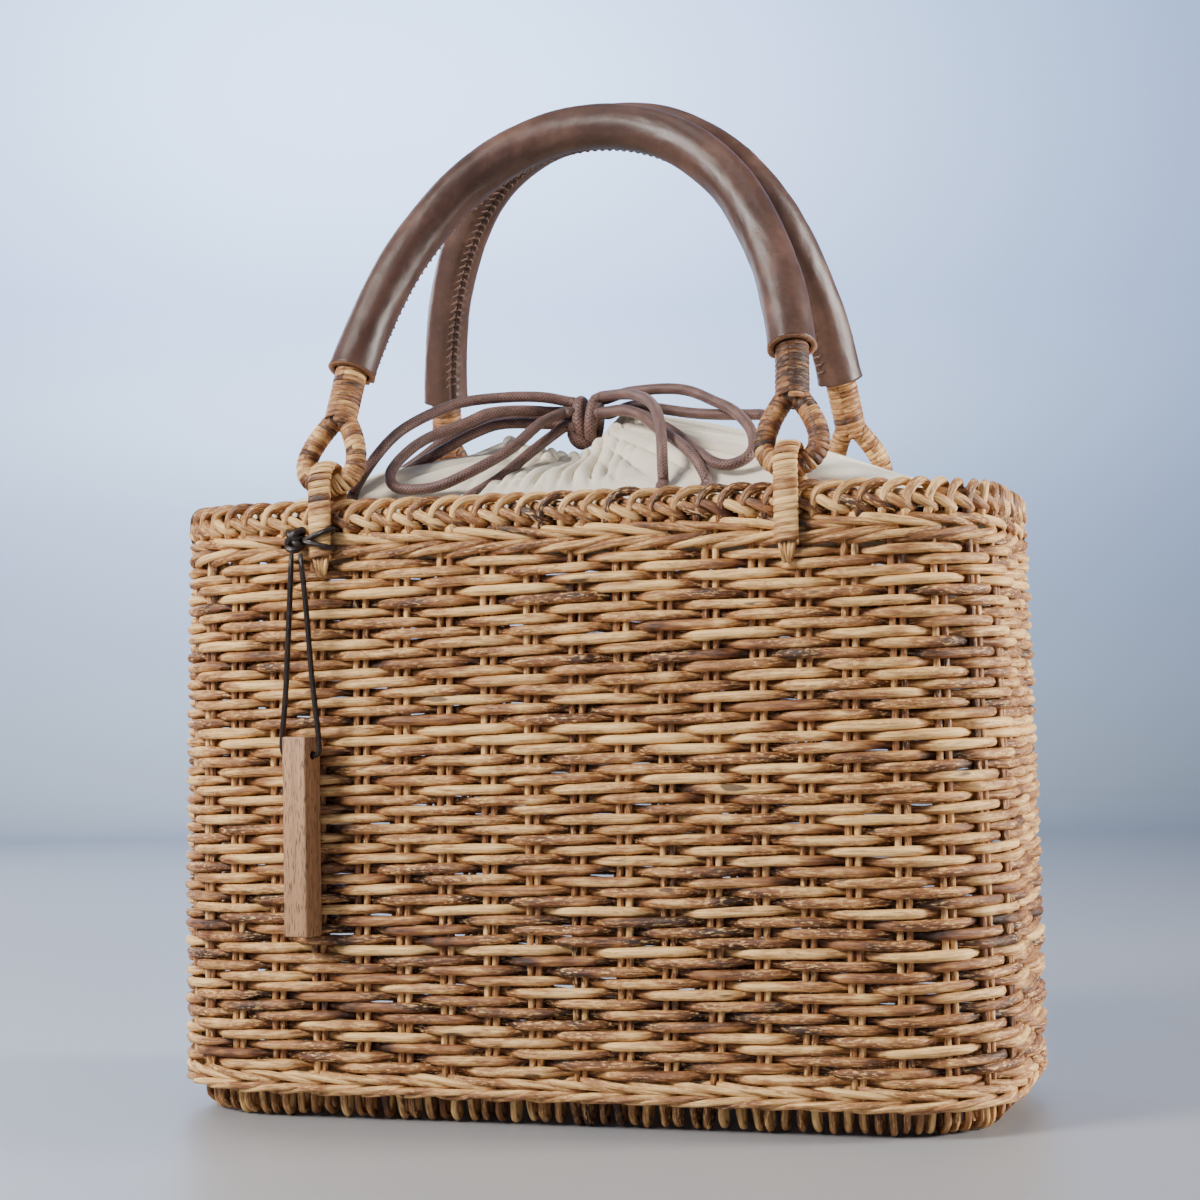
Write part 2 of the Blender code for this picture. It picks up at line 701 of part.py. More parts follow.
def build_tag():
    turn = math.radians(TAG_TURN)
    reach = TAG_SIDE / 2 * (math.cos(turn) + abs(math.sin(turn)))
    wall = RIM_HALF_DEPTH + max(wall_offset(TAG_TOP), wall_offset(TAG_TOP - TAG_LENGTH))
    centre = Vector((TAG_X, -(wall + TAG_WALL_GAP + reach), TAG_TOP - TAG_LENGTH / 2))
    bm = bmesh.new()
    bmesh.ops.create_cube(bm, size=1.0)
    bmesh.ops.scale(bm, vec=(TAG_SIDE, TAG_SIDE, TAG_LENGTH), verts=bm.verts[:])
    bmesh.ops.bevel(bm, geom=bm.edges[:], offset=TAG_EDGE, segments=1, profile=0.5, affect="EDGES", material=-1)
    tag = finish("wooden_tag", bm, "wood", smooth_angle=20.0)
    tag.location = centre
    tag.rotation_euler = (0, 0, turn)
    bm = bmesh.new()
    bmesh.ops.create_cone(bm, cap_ends=True, segments=12, radius1=TAG_HOLE_RADIUS,
                          radius2=TAG_HOLE_RADIUS, depth=TAG_SIDE * 2)
    bmesh.ops.rotate(bm, matrix=Matrix.Rotation(math.pi / 2, 3, "Y"), verts=bm.verts[:])
    hole = finish("tag_hole_guide", bm, "wood")
    hole.location = centre + Vector((0, 0, TAG_LENGTH / 2 - TAG_HOLE_DROP))
    hole.rotation_euler = (0, 0, turn)
    hole.hide_render = True
    hole.display_type = "WIRE"
    cut = tag.modifiers.new("thong_hole", "BOOLEAN")
    cut.operation = "DIFFERENCE"
    cut.solver = "EXACT"
    cut.object = hole

    cord_tube("tag_thong", smooth_route(THONG_ROUTE, per_span=2), THONG_DIAMETER, "thong")
    knot_x = -STAPLE_X - STAPLE_HALF_WIDTH - SEAT_GAP - THONG_KNOT_HALF[0]
    outside = RIM_HALF_DEPTH + wall_offset(RIM_HEIGHT - STAPLE_DROP) + SEAT_GAP
    knot_y = -(outside + THONG_KNOT_HALF[1])
    lump("thong_knot", (knot_x, knot_y, TAG_TOP + THONG_KNOT_RISE), THONG_KNOT_HALF, "thong")


def main():
    clear_scene()
    build_wall()
    build_wales()
    build_rim()
    build_foot_and_base()
    build_staples()
    build_handle("front", -1, FRONT_ARCH_HALF, FRONT_ARCH_RISE, FRONT_ARCH_POWER)
    build_handle("back", 1, BACK_ARCH_HALF, BACK_ARCH_RISE, BACK_ARCH_POWER)
    build_cover()
    build_drawcord()
    build_tag()


main()
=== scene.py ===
"""Woven basket bag: looks of every piece, laid out as an add-on with one operator for each piece.

Metres, +Z up, origin on the ground under the middle of the basket, the front looks towards -Y.
"""
import math
import random

import bmesh
import bpy
import numpy as np
from bpy.props import FloatProperty, FloatVectorProperty, IntProperty, PointerProperty
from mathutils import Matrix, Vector, noise


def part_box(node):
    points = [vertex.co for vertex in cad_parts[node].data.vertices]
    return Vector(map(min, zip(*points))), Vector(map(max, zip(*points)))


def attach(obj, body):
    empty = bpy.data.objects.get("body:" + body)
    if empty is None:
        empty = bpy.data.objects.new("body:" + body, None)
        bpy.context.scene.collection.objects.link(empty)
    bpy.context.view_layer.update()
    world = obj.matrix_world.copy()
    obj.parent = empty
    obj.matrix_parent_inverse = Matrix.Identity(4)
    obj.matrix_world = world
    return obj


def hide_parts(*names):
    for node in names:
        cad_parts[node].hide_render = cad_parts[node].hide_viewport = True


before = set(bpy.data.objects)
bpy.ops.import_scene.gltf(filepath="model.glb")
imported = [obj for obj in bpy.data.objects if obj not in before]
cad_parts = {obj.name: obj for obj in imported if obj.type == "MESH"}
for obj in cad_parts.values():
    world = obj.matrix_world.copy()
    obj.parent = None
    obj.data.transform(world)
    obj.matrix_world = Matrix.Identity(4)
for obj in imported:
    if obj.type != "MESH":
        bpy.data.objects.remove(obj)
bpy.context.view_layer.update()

bl_info = {
    "name": "Basket bag",
    "version": (1, 0, 0),
    "blender": (4, 5, 0),
    "location": "3D View > Sidebar > Basket bag",
    "description": "Woven basket bag: wrapped handles, leather grips, drawstring cover and wooden tag",
    "category": "Object",
}

RIM_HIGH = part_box("rim_border")[1]
WALL_LOW, WALL_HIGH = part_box("basket_wall")
UPPER_WALE_LOW, UPPER_WALE_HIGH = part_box("upper_wale")
LOWER_WALE_LOW, LOWER_WALE_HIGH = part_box("lower_wale")
TAG_LOW, TAG_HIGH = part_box("wooden_tag")
THONG_KNOT_LOW, THONG_KNOT_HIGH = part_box("thong_knot")
KNOT_LOW, KNOT_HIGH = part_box("drawcord_knot")

# Basket outline
RIM_HALF_WIDTH = RIM_HIGH.x
RIM_HALF_DEPTH = RIM_HIGH.y
RIM_HEIGHT = RIM_HIGH.z
CORNER_RADIUS = 0.041
WALL_SPREAD = 0.0034
WALL_BULGE = 0.001
RIM_THICKNESS = 0.0095
FOOT_INSET = 0.0052
STAKE_START = 0.0084

# Rods of the weave
STAKE_FOOT = 0.0095
STAKE_TOP = 0.2065
STAKE_DEPTH = 0.0040
STAKE_HALF_GAP = 0.00145
UPPER_WALE_ROD = 0.00145
LOWER_WALE_ROD = 0.0013
WALE_DEPTH = 0.0046
WALE_FRONT = 0.68
RIM_ROD = 0.00158
RIM_RETURN_THICKNESS = 1.16
RIM_INNER_ROD = 0.0011
RIM_INNER_DEPTH = 0.0056
RIM_INNER_DROPS = (6.6, 8.9, 11.2)
FOOT_ROD = 0.0013
FOOT_STUB_INSET = 1.5
BASE_ROD = 0.0013
BASE_RODS_ALONG = 13
BASE_RODS_ACROSS = 88
BASE_CORNER = 0.033
BASE_INSET = 0.002
BASE_WAVE = 0.0012

# Staples and handles
STAPLE_X = 0.0833
STAPLE_HALF_WIDTH = 0.0045
STAPLE_THICKNESS = 0.004
STAPLE_DROP = 0.022
STAPLE_INSIDE_DROP = 0.017
STAPLE_PEEL = 0.00138
STAPLE_PITCH = 0.0024
SEAT_GAP = 0.0003
HINGE_RISE = 0.0044
HINGE_Y = RIM_HALF_DEPTH - RIM_THICKNESS / 2
HINGE_Z = RIM_HEIGHT + HINGE_RISE
STEM_RADIUS = 0.006
LOOP_ROD_RADIUS = 0.0039
LOOP_INNER_HALF = 0.0055
LOOP_STRAIGHT = 0.014
FORK_RISE = 0.029
ARCH_LIFT = 0.0036
GRIP_RADIUS = 0.0086
GRIP_WALL = 0.0021
GRIP_START = 0.046
GRIP_GAP = 0.0005
ARCHES = {
    "front": (-1, 0.0842, 0.141, 2.12),
    "back": (1, 0.0813, 0.145, 2.36),
}

# Cloth cover
CLOTH_THICKNESS = 0.0015
HEM_DROP = 0.016
HEM_GAP = 0.0004
SHOULDER_DROP = 0.0035
MOUTH_CENTRE = (-0.009, -0.005)
MOUTH_HALF = (0.028, 0.010)
MOUTH_RISE = 0.014
# Round the mouth: turn in degrees from +X, lip height above the mouth rise as a
# share of it, rise power along the cloth, and swell as a share of the mouth rise
COVER_SWELL = (
    (0.0, 1.05, 1.05, 0.12),
    (45.0, 1.20, 0.90, 0.30),
    (90.0, 0.15, 1.20, 0.25),
    (135.0, 0.35, 1.60, 0.15),
    (180.0, 0.62, 1.90, 0.25),
    (225.0, 0.22, 1.05, 0.20),
    (270.0, -0.12, 0.68, 0.05),
    (315.0, 0.80, 0.85, 0.00),
)

# Drawcord
CORD_DIAMETER = 0.004
CORD_ROUTES = {
    "cord_left_far": (
        (-0.0094, -0.0090, 0.2542), (-0.0114, -0.0092, 0.2545), (-0.0200, -0.0120, 0.2562),
        (-0.0320, -0.0150, 0.2565), (-0.0470, -0.0200, 0.2550), (-0.0570, -0.0260, 0.2510),
        (-0.0670, -0.0340, 0.2440), (-0.0730, -0.0420, 0.2350), (-0.0785, -0.0480, 0.2240),
        (-0.0800, -0.0500, 0.2190),
    ),
    "cord_left_bow": (
        (-0.0094, -0.0046, 0.2512), (-0.0114, -0.0046, 0.2512), (-0.0180, -0.0070, 0.2513),
        (-0.0280, -0.0140, 0.2515), (-0.0380, -0.0195, 0.2505), (-0.0450, -0.0240, 0.2470),
        (-0.0580, -0.0310, 0.2410), (-0.0640, -0.0390, 0.2345), (-0.0665, -0.0470, 0.2270),
        (-0.0620, -0.0510, 0.2215), (-0.0490, -0.0515, 0.2210), (-0.0370, -0.0490, 0.2255),
        (-0.0240, -0.0390, 0.2345), (-0.0172, -0.0245, 0.2450), (-0.0118, -0.0145, 0.2496),
        (-0.0094, -0.0134, 0.2500),
    ),
    "cord_left_under": (
        (-0.0094, -0.0046, 0.2458), (-0.0114, -0.0046, 0.2458), (-0.0190, -0.0068, 0.2468),
        (-0.0350, -0.0130, 0.2470), (-0.0440, -0.0190, 0.2435), (-0.0530, -0.0240, 0.2380),
        (-0.0640, -0.0260, 0.2320), (-0.0710, -0.0290, 0.2270), (-0.0770, -0.0330, 0.2215),
    ),
    "cord_left_back": (
        (-0.0094, -0.0003, 0.2486), (-0.0114, -0.0003, 0.2488), (-0.0260, 0.0002, 0.2508),
        (-0.0380, -0.0010, 0.2505), (-0.0500, -0.0020, 0.2480), (-0.0600, -0.0060, 0.2430),
        (-0.0690, -0.0120, 0.2350), (-0.0760, -0.0180, 0.2288), (-0.0795, -0.0215, 0.2250),
    ),
    "cord_left_near": (
        (-0.0094, -0.0130, 0.2448), (-0.0116, -0.0133, 0.2446), (-0.0200, -0.0250, 0.2352),
        (-0.0275, -0.0390, 0.2248), (-0.0325, -0.0480, 0.2195), (-0.0342, -0.0505, 0.2180),
    ),
    "cord_right_bow": (
        (0.0014, -0.0055, 0.2550), (0.0034, -0.0057, 0.2553), (0.0120, -0.0090, 0.2568),
        (0.0270, -0.0140, 0.2567), (0.0374, -0.0180, 0.2548), (0.0476, -0.0240, 0.2501),
        (0.0559, -0.0300, 0.2458), (0.0630, -0.0375, 0.2393), (0.0662, -0.0430, 0.2334),
        (0.0660, -0.0465, 0.2289), (0.0630, -0.0485, 0.2260), (0.0576, -0.0490, 0.2248),
        (0.0512, -0.0465, 0.2270), (0.0414, -0.0350, 0.2340), (0.0324, -0.0255, 0.2400),
        (0.0246, -0.0185, 0.2442), (0.0180, -0.0135, 0.2478), (0.0100, -0.0100, 0.2503),
        (0.0036, -0.0080, 0.2502), (0.0014, -0.0080, 0.2502),
    ),
    "cord_right_tail": (
        (0.0014, -0.0025, 0.2500), (0.0034, -0.0026, 0.2501), (0.0122, -0.0050, 0.2522),
        (0.0225, -0.0105, 0.2503), (0.0378, -0.0170, 0.2470), (0.0522, -0.0220, 0.2452),
        (0.0674, -0.0270, 0.2440),
    ),
    "cord_right_mid": (
        (0.0014, -0.0108, 0.2552), (0.0034, -0.0112, 0.2555), (0.0147, -0.0185, 0.2548),
        (0.0242, -0.0280, 0.2513), (0.0303, -0.0370, 0.2452), (0.0339, -0.0455, 0.2358),
        (0.0355, -0.0505, 0.2254), (0.0360, -0.0515, 0.2194),
    ),
    "cord_right_near": (
        (0.0014, -0.0127, 0.2492), (0.0036, -0.0130, 0.2493), (0.0117, -0.0165, 0.2492),
        (0.0203, -0.0215, 0.2464), (0.0279, -0.0300, 0.2410), (0.0385, -0.0410, 0.2345),
        (0.0462, -0.0470, 0.2278), (0.0505, -0.0510, 0.2217), (0.0515, -0.0515, 0.2185),
    ),
}

# Tag and thong
TAG_SIDE = 0.0096
TAG_TURN = -11.0
TAG_HOLE_DROP = 0.0065
TAG_HOLE_RADIUS = 0.0016
THONG_DIAMETER = 0.002
THONG_ROUTE = (
    (-0.0915, -0.0780, 0.1975), (-0.0925, -0.0785, 0.1750), (-0.0940, -0.0785, 0.1500),
    (-0.0957, -0.0780, 0.1340), (-0.0958, -0.0773, 0.1290), (-0.0940, -0.0774, 0.1275),
    (-0.0885, -0.0785, 0.1275), (-0.0830, -0.0796, 0.1275), (-0.0813, -0.0799, 0.1290),
    (-0.0815, -0.0795, 0.1340), (-0.0842, -0.0785, 0.1550), (-0.0862, -0.0780, 0.1780),
    (-0.0882, -0.0780, 0.1975),
)


class WeaveSettings(bpy.types.PropertyGroup):
    stake_pairs: IntProperty(
        name="Stake pairs", description="Pairs of upright stakes round the basket, a multiple of three",
        default=51, min=24, max=96)
    rows: IntProperty(
        name="Rows", description="Rows of weavers between the two wales", default=52, min=10, max=90)
    weaver_diameter: FloatProperty(
        name="Weaver diameter", description="Thickness of the weavers", default=0.0034, unit="LENGTH",
        precision=5)
    stake_diameter: FloatProperty(
        name="Stake diameter", description="Thickness of one stake", default=0.0026, unit="LENGTH",
        precision=5)
    dark: FloatVectorProperty(
        name="Dark rattan", description="Darkest tone of the rods", subtype="COLOR",
        default=(0.048, 0.017, 0.007))
    brown: FloatVectorProperty(
        name="Brown rattan", description="Red-brown tone of the rods", subtype="COLOR",
        default=(0.215, 0.076, 0.024))
    tan: FloatVectorProperty(
        name="Tan rattan", description="Middle tone of the rods", subtype="COLOR",
        default=(0.46, 0.205, 0.066))
    straw: FloatVectorProperty(
        name="Straw rattan", description="Lightest tone of the rods", subtype="COLOR",
        default=(1.0, 0.63, 0.24))


class HandleSettings(bpy.types.PropertyGroup):
    peel_width: FloatProperty(
        name="Peel width", description="Width of the wrapped rattan peel", default=0.0021, unit="LENGTH",
        precision=5)
    stitch_length: FloatProperty(
        name="Stitch", description="Length of one stitch on the grips", default=0.0031, unit="LENGTH",
        precision=5)
    leather: FloatVectorProperty(
        name="Leather", description="Colour of the grips", subtype="COLOR", default=(0.076, 0.033, 0.020))
    cut_edge: FloatVectorProperty(
        name="Cut edge", description="Colour of the raw leather edge", subtype="COLOR",
        default=(0.36, 0.17, 0.085))


class ClothSettings(bpy.types.PropertyGroup):
    gathers: IntProperty(name="Gathers", description="Fine folds round the mouth", default=28, min=8, max=90)
    cotton: FloatVectorProperty(
        name="Cotton", description="Colour of the cover", subtype="COLOR", default=(0.90, 0.81, 0.64))
    cord: FloatVectorProperty(
        name="Drawcord", description="Colour of the waxed cord", subtype="COLOR",
        default=(0.100, 0.046, 0.034))
    thong: FloatVectorProperty(
        name="Thong", description="Colour of the leather thong", subtype="COLOR",
        default=(0.017, 0.009, 0.006))
    wood: FloatVectorProperty(
        name="Tag wood", description="Colour of the wooden tag", subtype="COLOR",
        default=(0.43, 0.235, 0.115))


class StageSettings(bpy.types.PropertyGroup):
    azimuth: FloatProperty(
        name="Azimuth", description="Direction of the camera from the front", default=math.radians(16.464),
        subtype="ANGLE")
    distance: FloatProperty(
        name="Distance", description="Camera to the middle of the basket", default=0.895644, unit="LENGTH")
    height: FloatProperty(name="Height", description="Height of the camera", default=0.146559, unit="LENGTH")
    pitch: FloatProperty(name="Pitch", description="Upward look", default=math.radians(2.243),
                         subtype="ANGLE")
    swing: FloatProperty(
        name="Swing", description="Turn of the look to the left of the middle", default=math.radians(0.176),
        subtype="ANGLE")
    roll: FloatProperty(name="Roll", description="Roll about the look", default=math.radians(-0.942),
                        subtype="ANGLE")
    lens: FloatProperty(name="Lens", description="Focal length on a 36 mm frame", default=73.04)


class BasketBagSettings(bpy.types.PropertyGroup):
    weave: PointerProperty(type=WeaveSettings)
    handle: PointerProperty(type=HandleSettings)
    cloth: PointerProperty(type=ClothSettings)
    stage: PointerProperty(type=StageSettings)


def settings():
    return bpy.context.scene.basket_bag


class Outline:
    """The rim's rounded rectangle, read by the way round it from the middle of the front."""

    def __init__(self):
        self.straight_x = RIM_HALF_WIDTH - CORNER_RADIUS
        self.straight_y = RIM_HALF_DEPTH - CORNER_RADIUS
        quarter = math.pi * CORNER_RADIUS / 2
        self.runs = (self.straight_x, quarter, 2 * self.straight_y, quarter, 2 * self.straight_x, quarter,
                     2 * self.straight_y, quarter, self.straight_x)
        self.length = sum(self.runs)

    def at(self, way):
        """Point on the outline and the direction that looks outwards there."""
        way %= self.length
        index = 0
        while index < len(self.runs) - 1 and way > self.runs[index]:
            way -= self.runs[index]
            index += 1
        if index == 0:
            return Vector((way, -RIM_HALF_DEPTH, 0)), Vector((0, -1, 0))
        if index == 2:
            return Vector((RIM_HALF_WIDTH, -self.straight_y + way, 0)), Vector((1, 0, 0))
        if index == 4:
            return Vector((self.straight_x - way, RIM_HALF_DEPTH, 0)), Vector((0, 1, 0))
        if index == 6:
            return Vector((-RIM_HALF_WIDTH, self.straight_y - way, 0)), Vector((-1, 0, 0))
        if index == 8:
            return Vector((-self.straight_x + way, -RIM_HALF_DEPTH, 0)), Vector((0, -1, 0))
        corner = (index - 1) // 2
        centre = Vector((self.straight_x if corner in (0, 1) else -self.straight_x,
                         self.straight_y if corner in (1, 2) else -self.straight_y, 0))
        turn = math.radians(-90 + 90 * corner) + way / CORNER_RADIUS
        outward = Vector((math.cos(turn), math.sin(turn), 0))
        return centre + outward * CORNER_RADIUS, outward

    def place(self, way, offset, height):
        """Point at a way round, moved outwards by an offset and up to a height."""
        spot, outward = self.at(way)
        spot = spot + outward * offset
        spot.z = height
        return spot


OUTLINE = Outline()


def wall_offset(height):
    share = height / RIM_HEIGHT
    return WALL_SPREAD * (1 - share) + WALL_BULGE * math.sin(math.pi * share)


def ease(share):
    share = max(0.0, min(1.0, share))
    return share * share * (3 - 2 * share)


def smooth_route(points, per_span=8):
    """Smooth curve through chosen points."""
    line = [Vector(point) for point in points]
    line = [line[0] * 2 - line[1]] + line + [line[-1] * 2 - line[-2]]
    made = []
    for i in range(1, len(line) - 2):
        before, start, end, after = line[i - 1:i + 3]
        for step in range(per_span):
            t = step / per_span
            made.append(0.5 * (2 * start + (end - before) * t
                               + (2 * before - 5 * start + 4 * end - after) * t ** 2
                               + (3 * start - before - 3 * end + after) * t ** 3))
    made.append(line[-2])
    return made


def resample(points, count):
    """Evenly spaced points along a line of points."""
    lengths = [0.0]
    for first, second in zip(points, points[1:]):
        lengths.append(lengths[-1] + (second - first).length)
    made = []
    spot = 0
    for i in range(count):
        way = lengths[-1] * i / (count - 1)
        while spot < len(lengths) - 2 and lengths[spot + 1] < way:
            spot += 1
        span = lengths[spot + 1] - lengths[spot]
        share = (way - lengths[spot]) / span if span > 0 else 0.0
        made.append(points[spot].lerp(points[spot + 1], share))
    return made


def route_length(points):
    return sum((b - a).length for a, b in zip(points, points[1:]))


def rounded_ends(points, radius):
    """A strand's points with one more at each end, and each ring's size, so that both ends close round."""
    start = points[0] + (points[0] - points[1]).normalized() * radius * 0.35
    end = points[-1] + (points[-1] - points[-2]).normalized() * radius * 0.35
    sizes = [0.0, 0.82] + [1.0] * (len(points) - 2) + [0.82, 0.0]
    return [start] + list(points) + [end], sizes


def place_object(name, data):
    """A new object in the scene that shows a mesh or a curve, or holds a camera or a light."""
    made = bpy.data.objects.new(name, data)
    bpy.context.scene.collection.objects.link(made)
    return made


def mesh_of(name, bm):
    """A mesh of all that a bmesh holds, which is freed."""
    mesh = bpy.data.meshes.new(name)
    bm.to_mesh(mesh)
    bm.free()
    return mesh


def strand_object(name, strands, radius, sides, closed=False, flat=1.0):
    """Strands as one mesh of bevelled curves.

    A strand has its points, its tone, and where it isn't round the direction in which it is flat.
    Each point of the mesh keeps its place along and round its own strand in the fibre attribute.
    """
    curve = bpy.data.curves.new(name, "CURVE")
    curve.dimensions = "3D"
    curve.bevel_depth = radius
    curve.bevel_resolution = sides // 2 - 2
    centres, rings, tones, flats = [], [], [], []
    for strand in strands:
        points, sizes = strand["points"], strand.get("sizes")
        if not closed:
            if sizes is None:
                points, sizes = rounded_ends(points, radius * strand.get("thick", 1.0))
            if "flat" in strand:
                strand = dict(strand, flat=[strand["flat"][0]] + list(strand["flat"]) + [strand["flat"][-1]])
        spline = curve.splines.new("POLY")
        spline.points.add(len(points) - 1)
        array = np.array(points, float)
        spline.points.foreach_set("co", np.c_[array, np.ones(len(array))].ravel())
        thick = strand.get("thick", 1.0)
        size = np.full(len(array), thick) if sizes is None else np.array(sizes, float) * thick
        spline.points.foreach_set("radius", size)
        spline.use_cyclic_u = closed
        steps = np.linalg.norm(np.diff(array, axis=0), axis=1)
        along = np.concatenate(([0.0], np.cumsum(steps))) + strand.get("shift", 0.0)
        centres.append(array)
        rings.append(np.c_[along, size])
        tones.append(np.full(len(array), strand.get("tone", 0.5)))
        if "flat" in strand:
            flats.append(np.array(strand["flat"], float))
    guide = place_object(name + "_guide", curve)
    mesh = bpy.data.meshes.new_from_object(guide)
    bpy.data.objects.remove(guide)
    bpy.data.curves.remove(curve)
    mesh.name = name
    centres, rings, tones = np.concatenate(centres), np.concatenate(rings), np.concatenate(tones)
    if len(mesh.vertices) != len(centres) * sides:
        raise RuntimeError(f"{name}: {len(mesh.vertices)} points in place of {len(centres) * sides}")
    where = np.zeros(len(mesh.vertices) * 3, np.float32)
    mesh.vertices.foreach_get("co", where)
    where = where.reshape(-1, 3).astype(float)
    if flats:
        lean = np.repeat(np.concatenate(flats), sides, axis=0)
        away = where - np.repeat(centres, sides, axis=0)
        depth = (away * lean).sum(1, keepdims=True)
        where = where - lean * depth * (1 - flat)
        mesh.vertices.foreach_set("co", where.astype(np.float32).ravel())
    turn = np.tile(2 * np.pi * np.arange(sides) / sides, len(centres))
    along = np.repeat(rings[:, 0], sides)
    fibre = np.c_[along, radius * np.cos(turn), radius * np.sin(turn)].astype(np.float32)
    mesh.attributes.new("fibre", "FLOAT_VECTOR", "POINT").data.foreach_set("vector", fibre.ravel())
    mesh.attributes.new("tone", "FLOAT", "POINT").data.foreach_set(
        "value", np.repeat(tones, sides).astype(np.float32))
    bm = bmesh.new()
    bm.from_mesh(mesh)
    bmesh.ops.remove_doubles(bm, verts=bm.verts[:], dist=1e-6)
    bmesh.ops.recalc_face_normals(bm, faces=bm.faces[:])
    bm.to_mesh(mesh)
    bm.free()
    mesh.shade_smooth()
    made = place_object(name, mesh)
    return made


def dress(piece, finish, body, replaced=()):
    """Give a piece its finish, its body and the solids that it stands for."""
    if finish is not None:
        piece.data.materials.clear()
        piece.data.materials.append(finish)
    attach(piece, body)
    if replaced:
        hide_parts(*replaced)
    return piece


def add(tree, kind, inputs=None, **values):
    """One shader node with its settings and its links."""
    node = tree.nodes.new("ShaderNode" + kind)
    for key, value in values.items():
        setattr(node, key, value)
    for key, value in (inputs or {}).items():
        if isinstance(value, bpy.types.NodeSocket):
            tree.links.new(value, node.inputs[key])
        else:
            node.inputs[key].default_value = value
    return node


def start_finish(name):
    """An empty material, its tree and its main shader."""
    made = bpy.data.materials.new(name)
    made.use_nodes = True
    tree = made.node_tree
    return made, tree, tree.nodes["Principled BSDF"]


def grain(tree, source, stretch, detail=2.0, rough=0.5):
    """Noise that is stretched by so many cells a metre along each axis."""
    scaled = add(tree, "VectorMath", {0: source, 1: stretch}, operation="MULTIPLY")
    return add(tree, "TexNoise", {"Vector": scaled.outputs[0], "Scale": 1.0, "Detail": detail,
                                  "Roughness": rough}).outputs[0]


def spread(tree, value, low, high, to_low=0.0, to_high=1.0):
    return add(tree, "MapRange", {0: value, 1: low, 2: high, 3: to_low, 4: to_high}).outputs[0]


def maths(tree, operation, first, second=0.5, third=0.5):
    return add(tree, "Math", {0: first, 1: second, 2: third}, operation=operation).outputs[0]


def blend_colour(tree, share, first, second, way="MIX"):
    return add(tree, "Mix", {0: share, 6: first, 7: second}, data_type="RGBA", blend_type=way).outputs[2]


def ramp(tree, share, stops):
    node = add(tree, "ValToRGB", {0: share})
    elements = node.color_ramp.elements
    while len(elements) < len(stops):
        elements.new(0.5)
    for element, (place, colour) in zip(elements, stops):
        element.position = place
        element.color = (*colour, 1.0)
    return node.outputs[0]


def relief(tree, shader, height, strength, distance):
    bump = add(tree, "Bump", {"Strength": strength, "Distance": distance, "Height": height})
    tree.links.new(bump.outputs[0], shader.inputs["Normal"])


def rattan_finish(name, lift=0.0, contrast=1.0, gloss=0.5, fleck=0.75):
    """Rattan rod: tone that drifts along the rod, fine fibres, pale flecks and dark knots."""
    made, tree, shader = start_finish(name)
    weave = settings().weave
    fibre = add(tree, "Attribute", attribute_name="fibre").outputs["Vector"]
    # The tone attribute holds each rod's own tone and, on the weavers, painted shade and painted highlight
    # along each stroke
    tone = add(tree, "Attribute", attribute_name="tone").outputs["Fac"]
    drift = grain(tree, fibre, (30.0, 70.0, 70.0), 2.0, 0.5)
    patch = grain(tree, fibre, (150.0, 640.0, 640.0), 3.0, 0.65)
    mixed = maths(tree, "MULTIPLY_ADD", drift, 2.1 * contrast, tone)
    mixed = maths(tree, "MULTIPLY_ADD", patch, 1.2 * contrast, mixed)
    mixed = maths(tree, "ADD", mixed, lift - 1.60 * contrast)
    base = ramp(tree, mixed, ((0.0, weave.dark), (0.24, weave.brown), (0.52, weave.tan), (0.86, weave.straw)))
    threads = grain(tree, fibre, (70.0, 1700.0, 1700.0), 4.0, 0.7)
    base = blend_colour(tree, spread(tree, threads, 0.44, 0.64, 0.0, 0.85), base, (0.42, 0.30, 0.22, 1.0),
                        "MULTIPLY")
    flecks = spread(tree, grain(tree, fibre, (420.0, 1500.0, 1500.0), 2.0, 0.6), 0.54, 0.64, 0.0, fleck)
    patches = spread(tree, grain(tree, fibre, (22.0, 60.0, 60.0), 1.0, 0.4), 0.38, 0.56)
    base = blend_colour(tree, maths(tree, "MULTIPLY", flecks, patches), base, (*weave.straw, 1.0))
    knots = spread(tree, grain(tree, fibre, (60.0, 260.0, 260.0), 1.0, 0.4), 0.735, 0.78, 0.0, 0.85)
    base = blend_colour(tree, knots, base, (0.045, 0.022, 0.012, 1.0))
    tree.links.new(base, shader.inputs["Base Color"])
    tree.links.new(spread(tree, threads, 0.3, 0.7, gloss - 0.10, gloss + 0.14), shader.inputs["Roughness"])
    height = maths(tree, "MULTIPLY_ADD", patch, 1.6, threads)
    relief(tree, shader, height, 0.9, 0.0004)
    return made


def leather_finish(name):
    """Smooth dark leather with a fine grain, paler where hands rub it."""
    made, tree, shader = start_finish(name)
    colour = settings().handle.leather
    place = add(tree, "TexCoord").outputs["Object"]
    cloud = grain(tree, place, (55.0, 55.0, 55.0), 4.0, 0.6)
    pores = grain(tree, place, (2400.0, 2400.0, 2400.0), 2.0, 0.6)
    streak = grain(tree, place, (330.0, 330.0, 330.0), 3.0, 0.7)
    pale = tuple(min(1.0, c * 1.75 + 0.01) for c in colour)
    deep = tuple(c * 0.72 for c in colour)
    base = ramp(tree, cloud, ((0.34, deep), (0.52, colour), (0.70, pale)))
    base = blend_colour(tree, spread(tree, streak, 0.5, 0.72, 0.0, 0.3), base, (*pale, 1.0))
    tree.links.new(base, shader.inputs["Base Color"])
    tree.links.new(spread(tree, cloud, 0.3, 0.7, 0.36, 0.50), shader.inputs["Roughness"])
    shader.inputs["Specular IOR Level"].default_value = 0.5
    height = maths(tree, "MULTIPLY_ADD", pores, 0.6, streak)
    relief(tree, shader, height, 0.34, 0.0003)
    return made


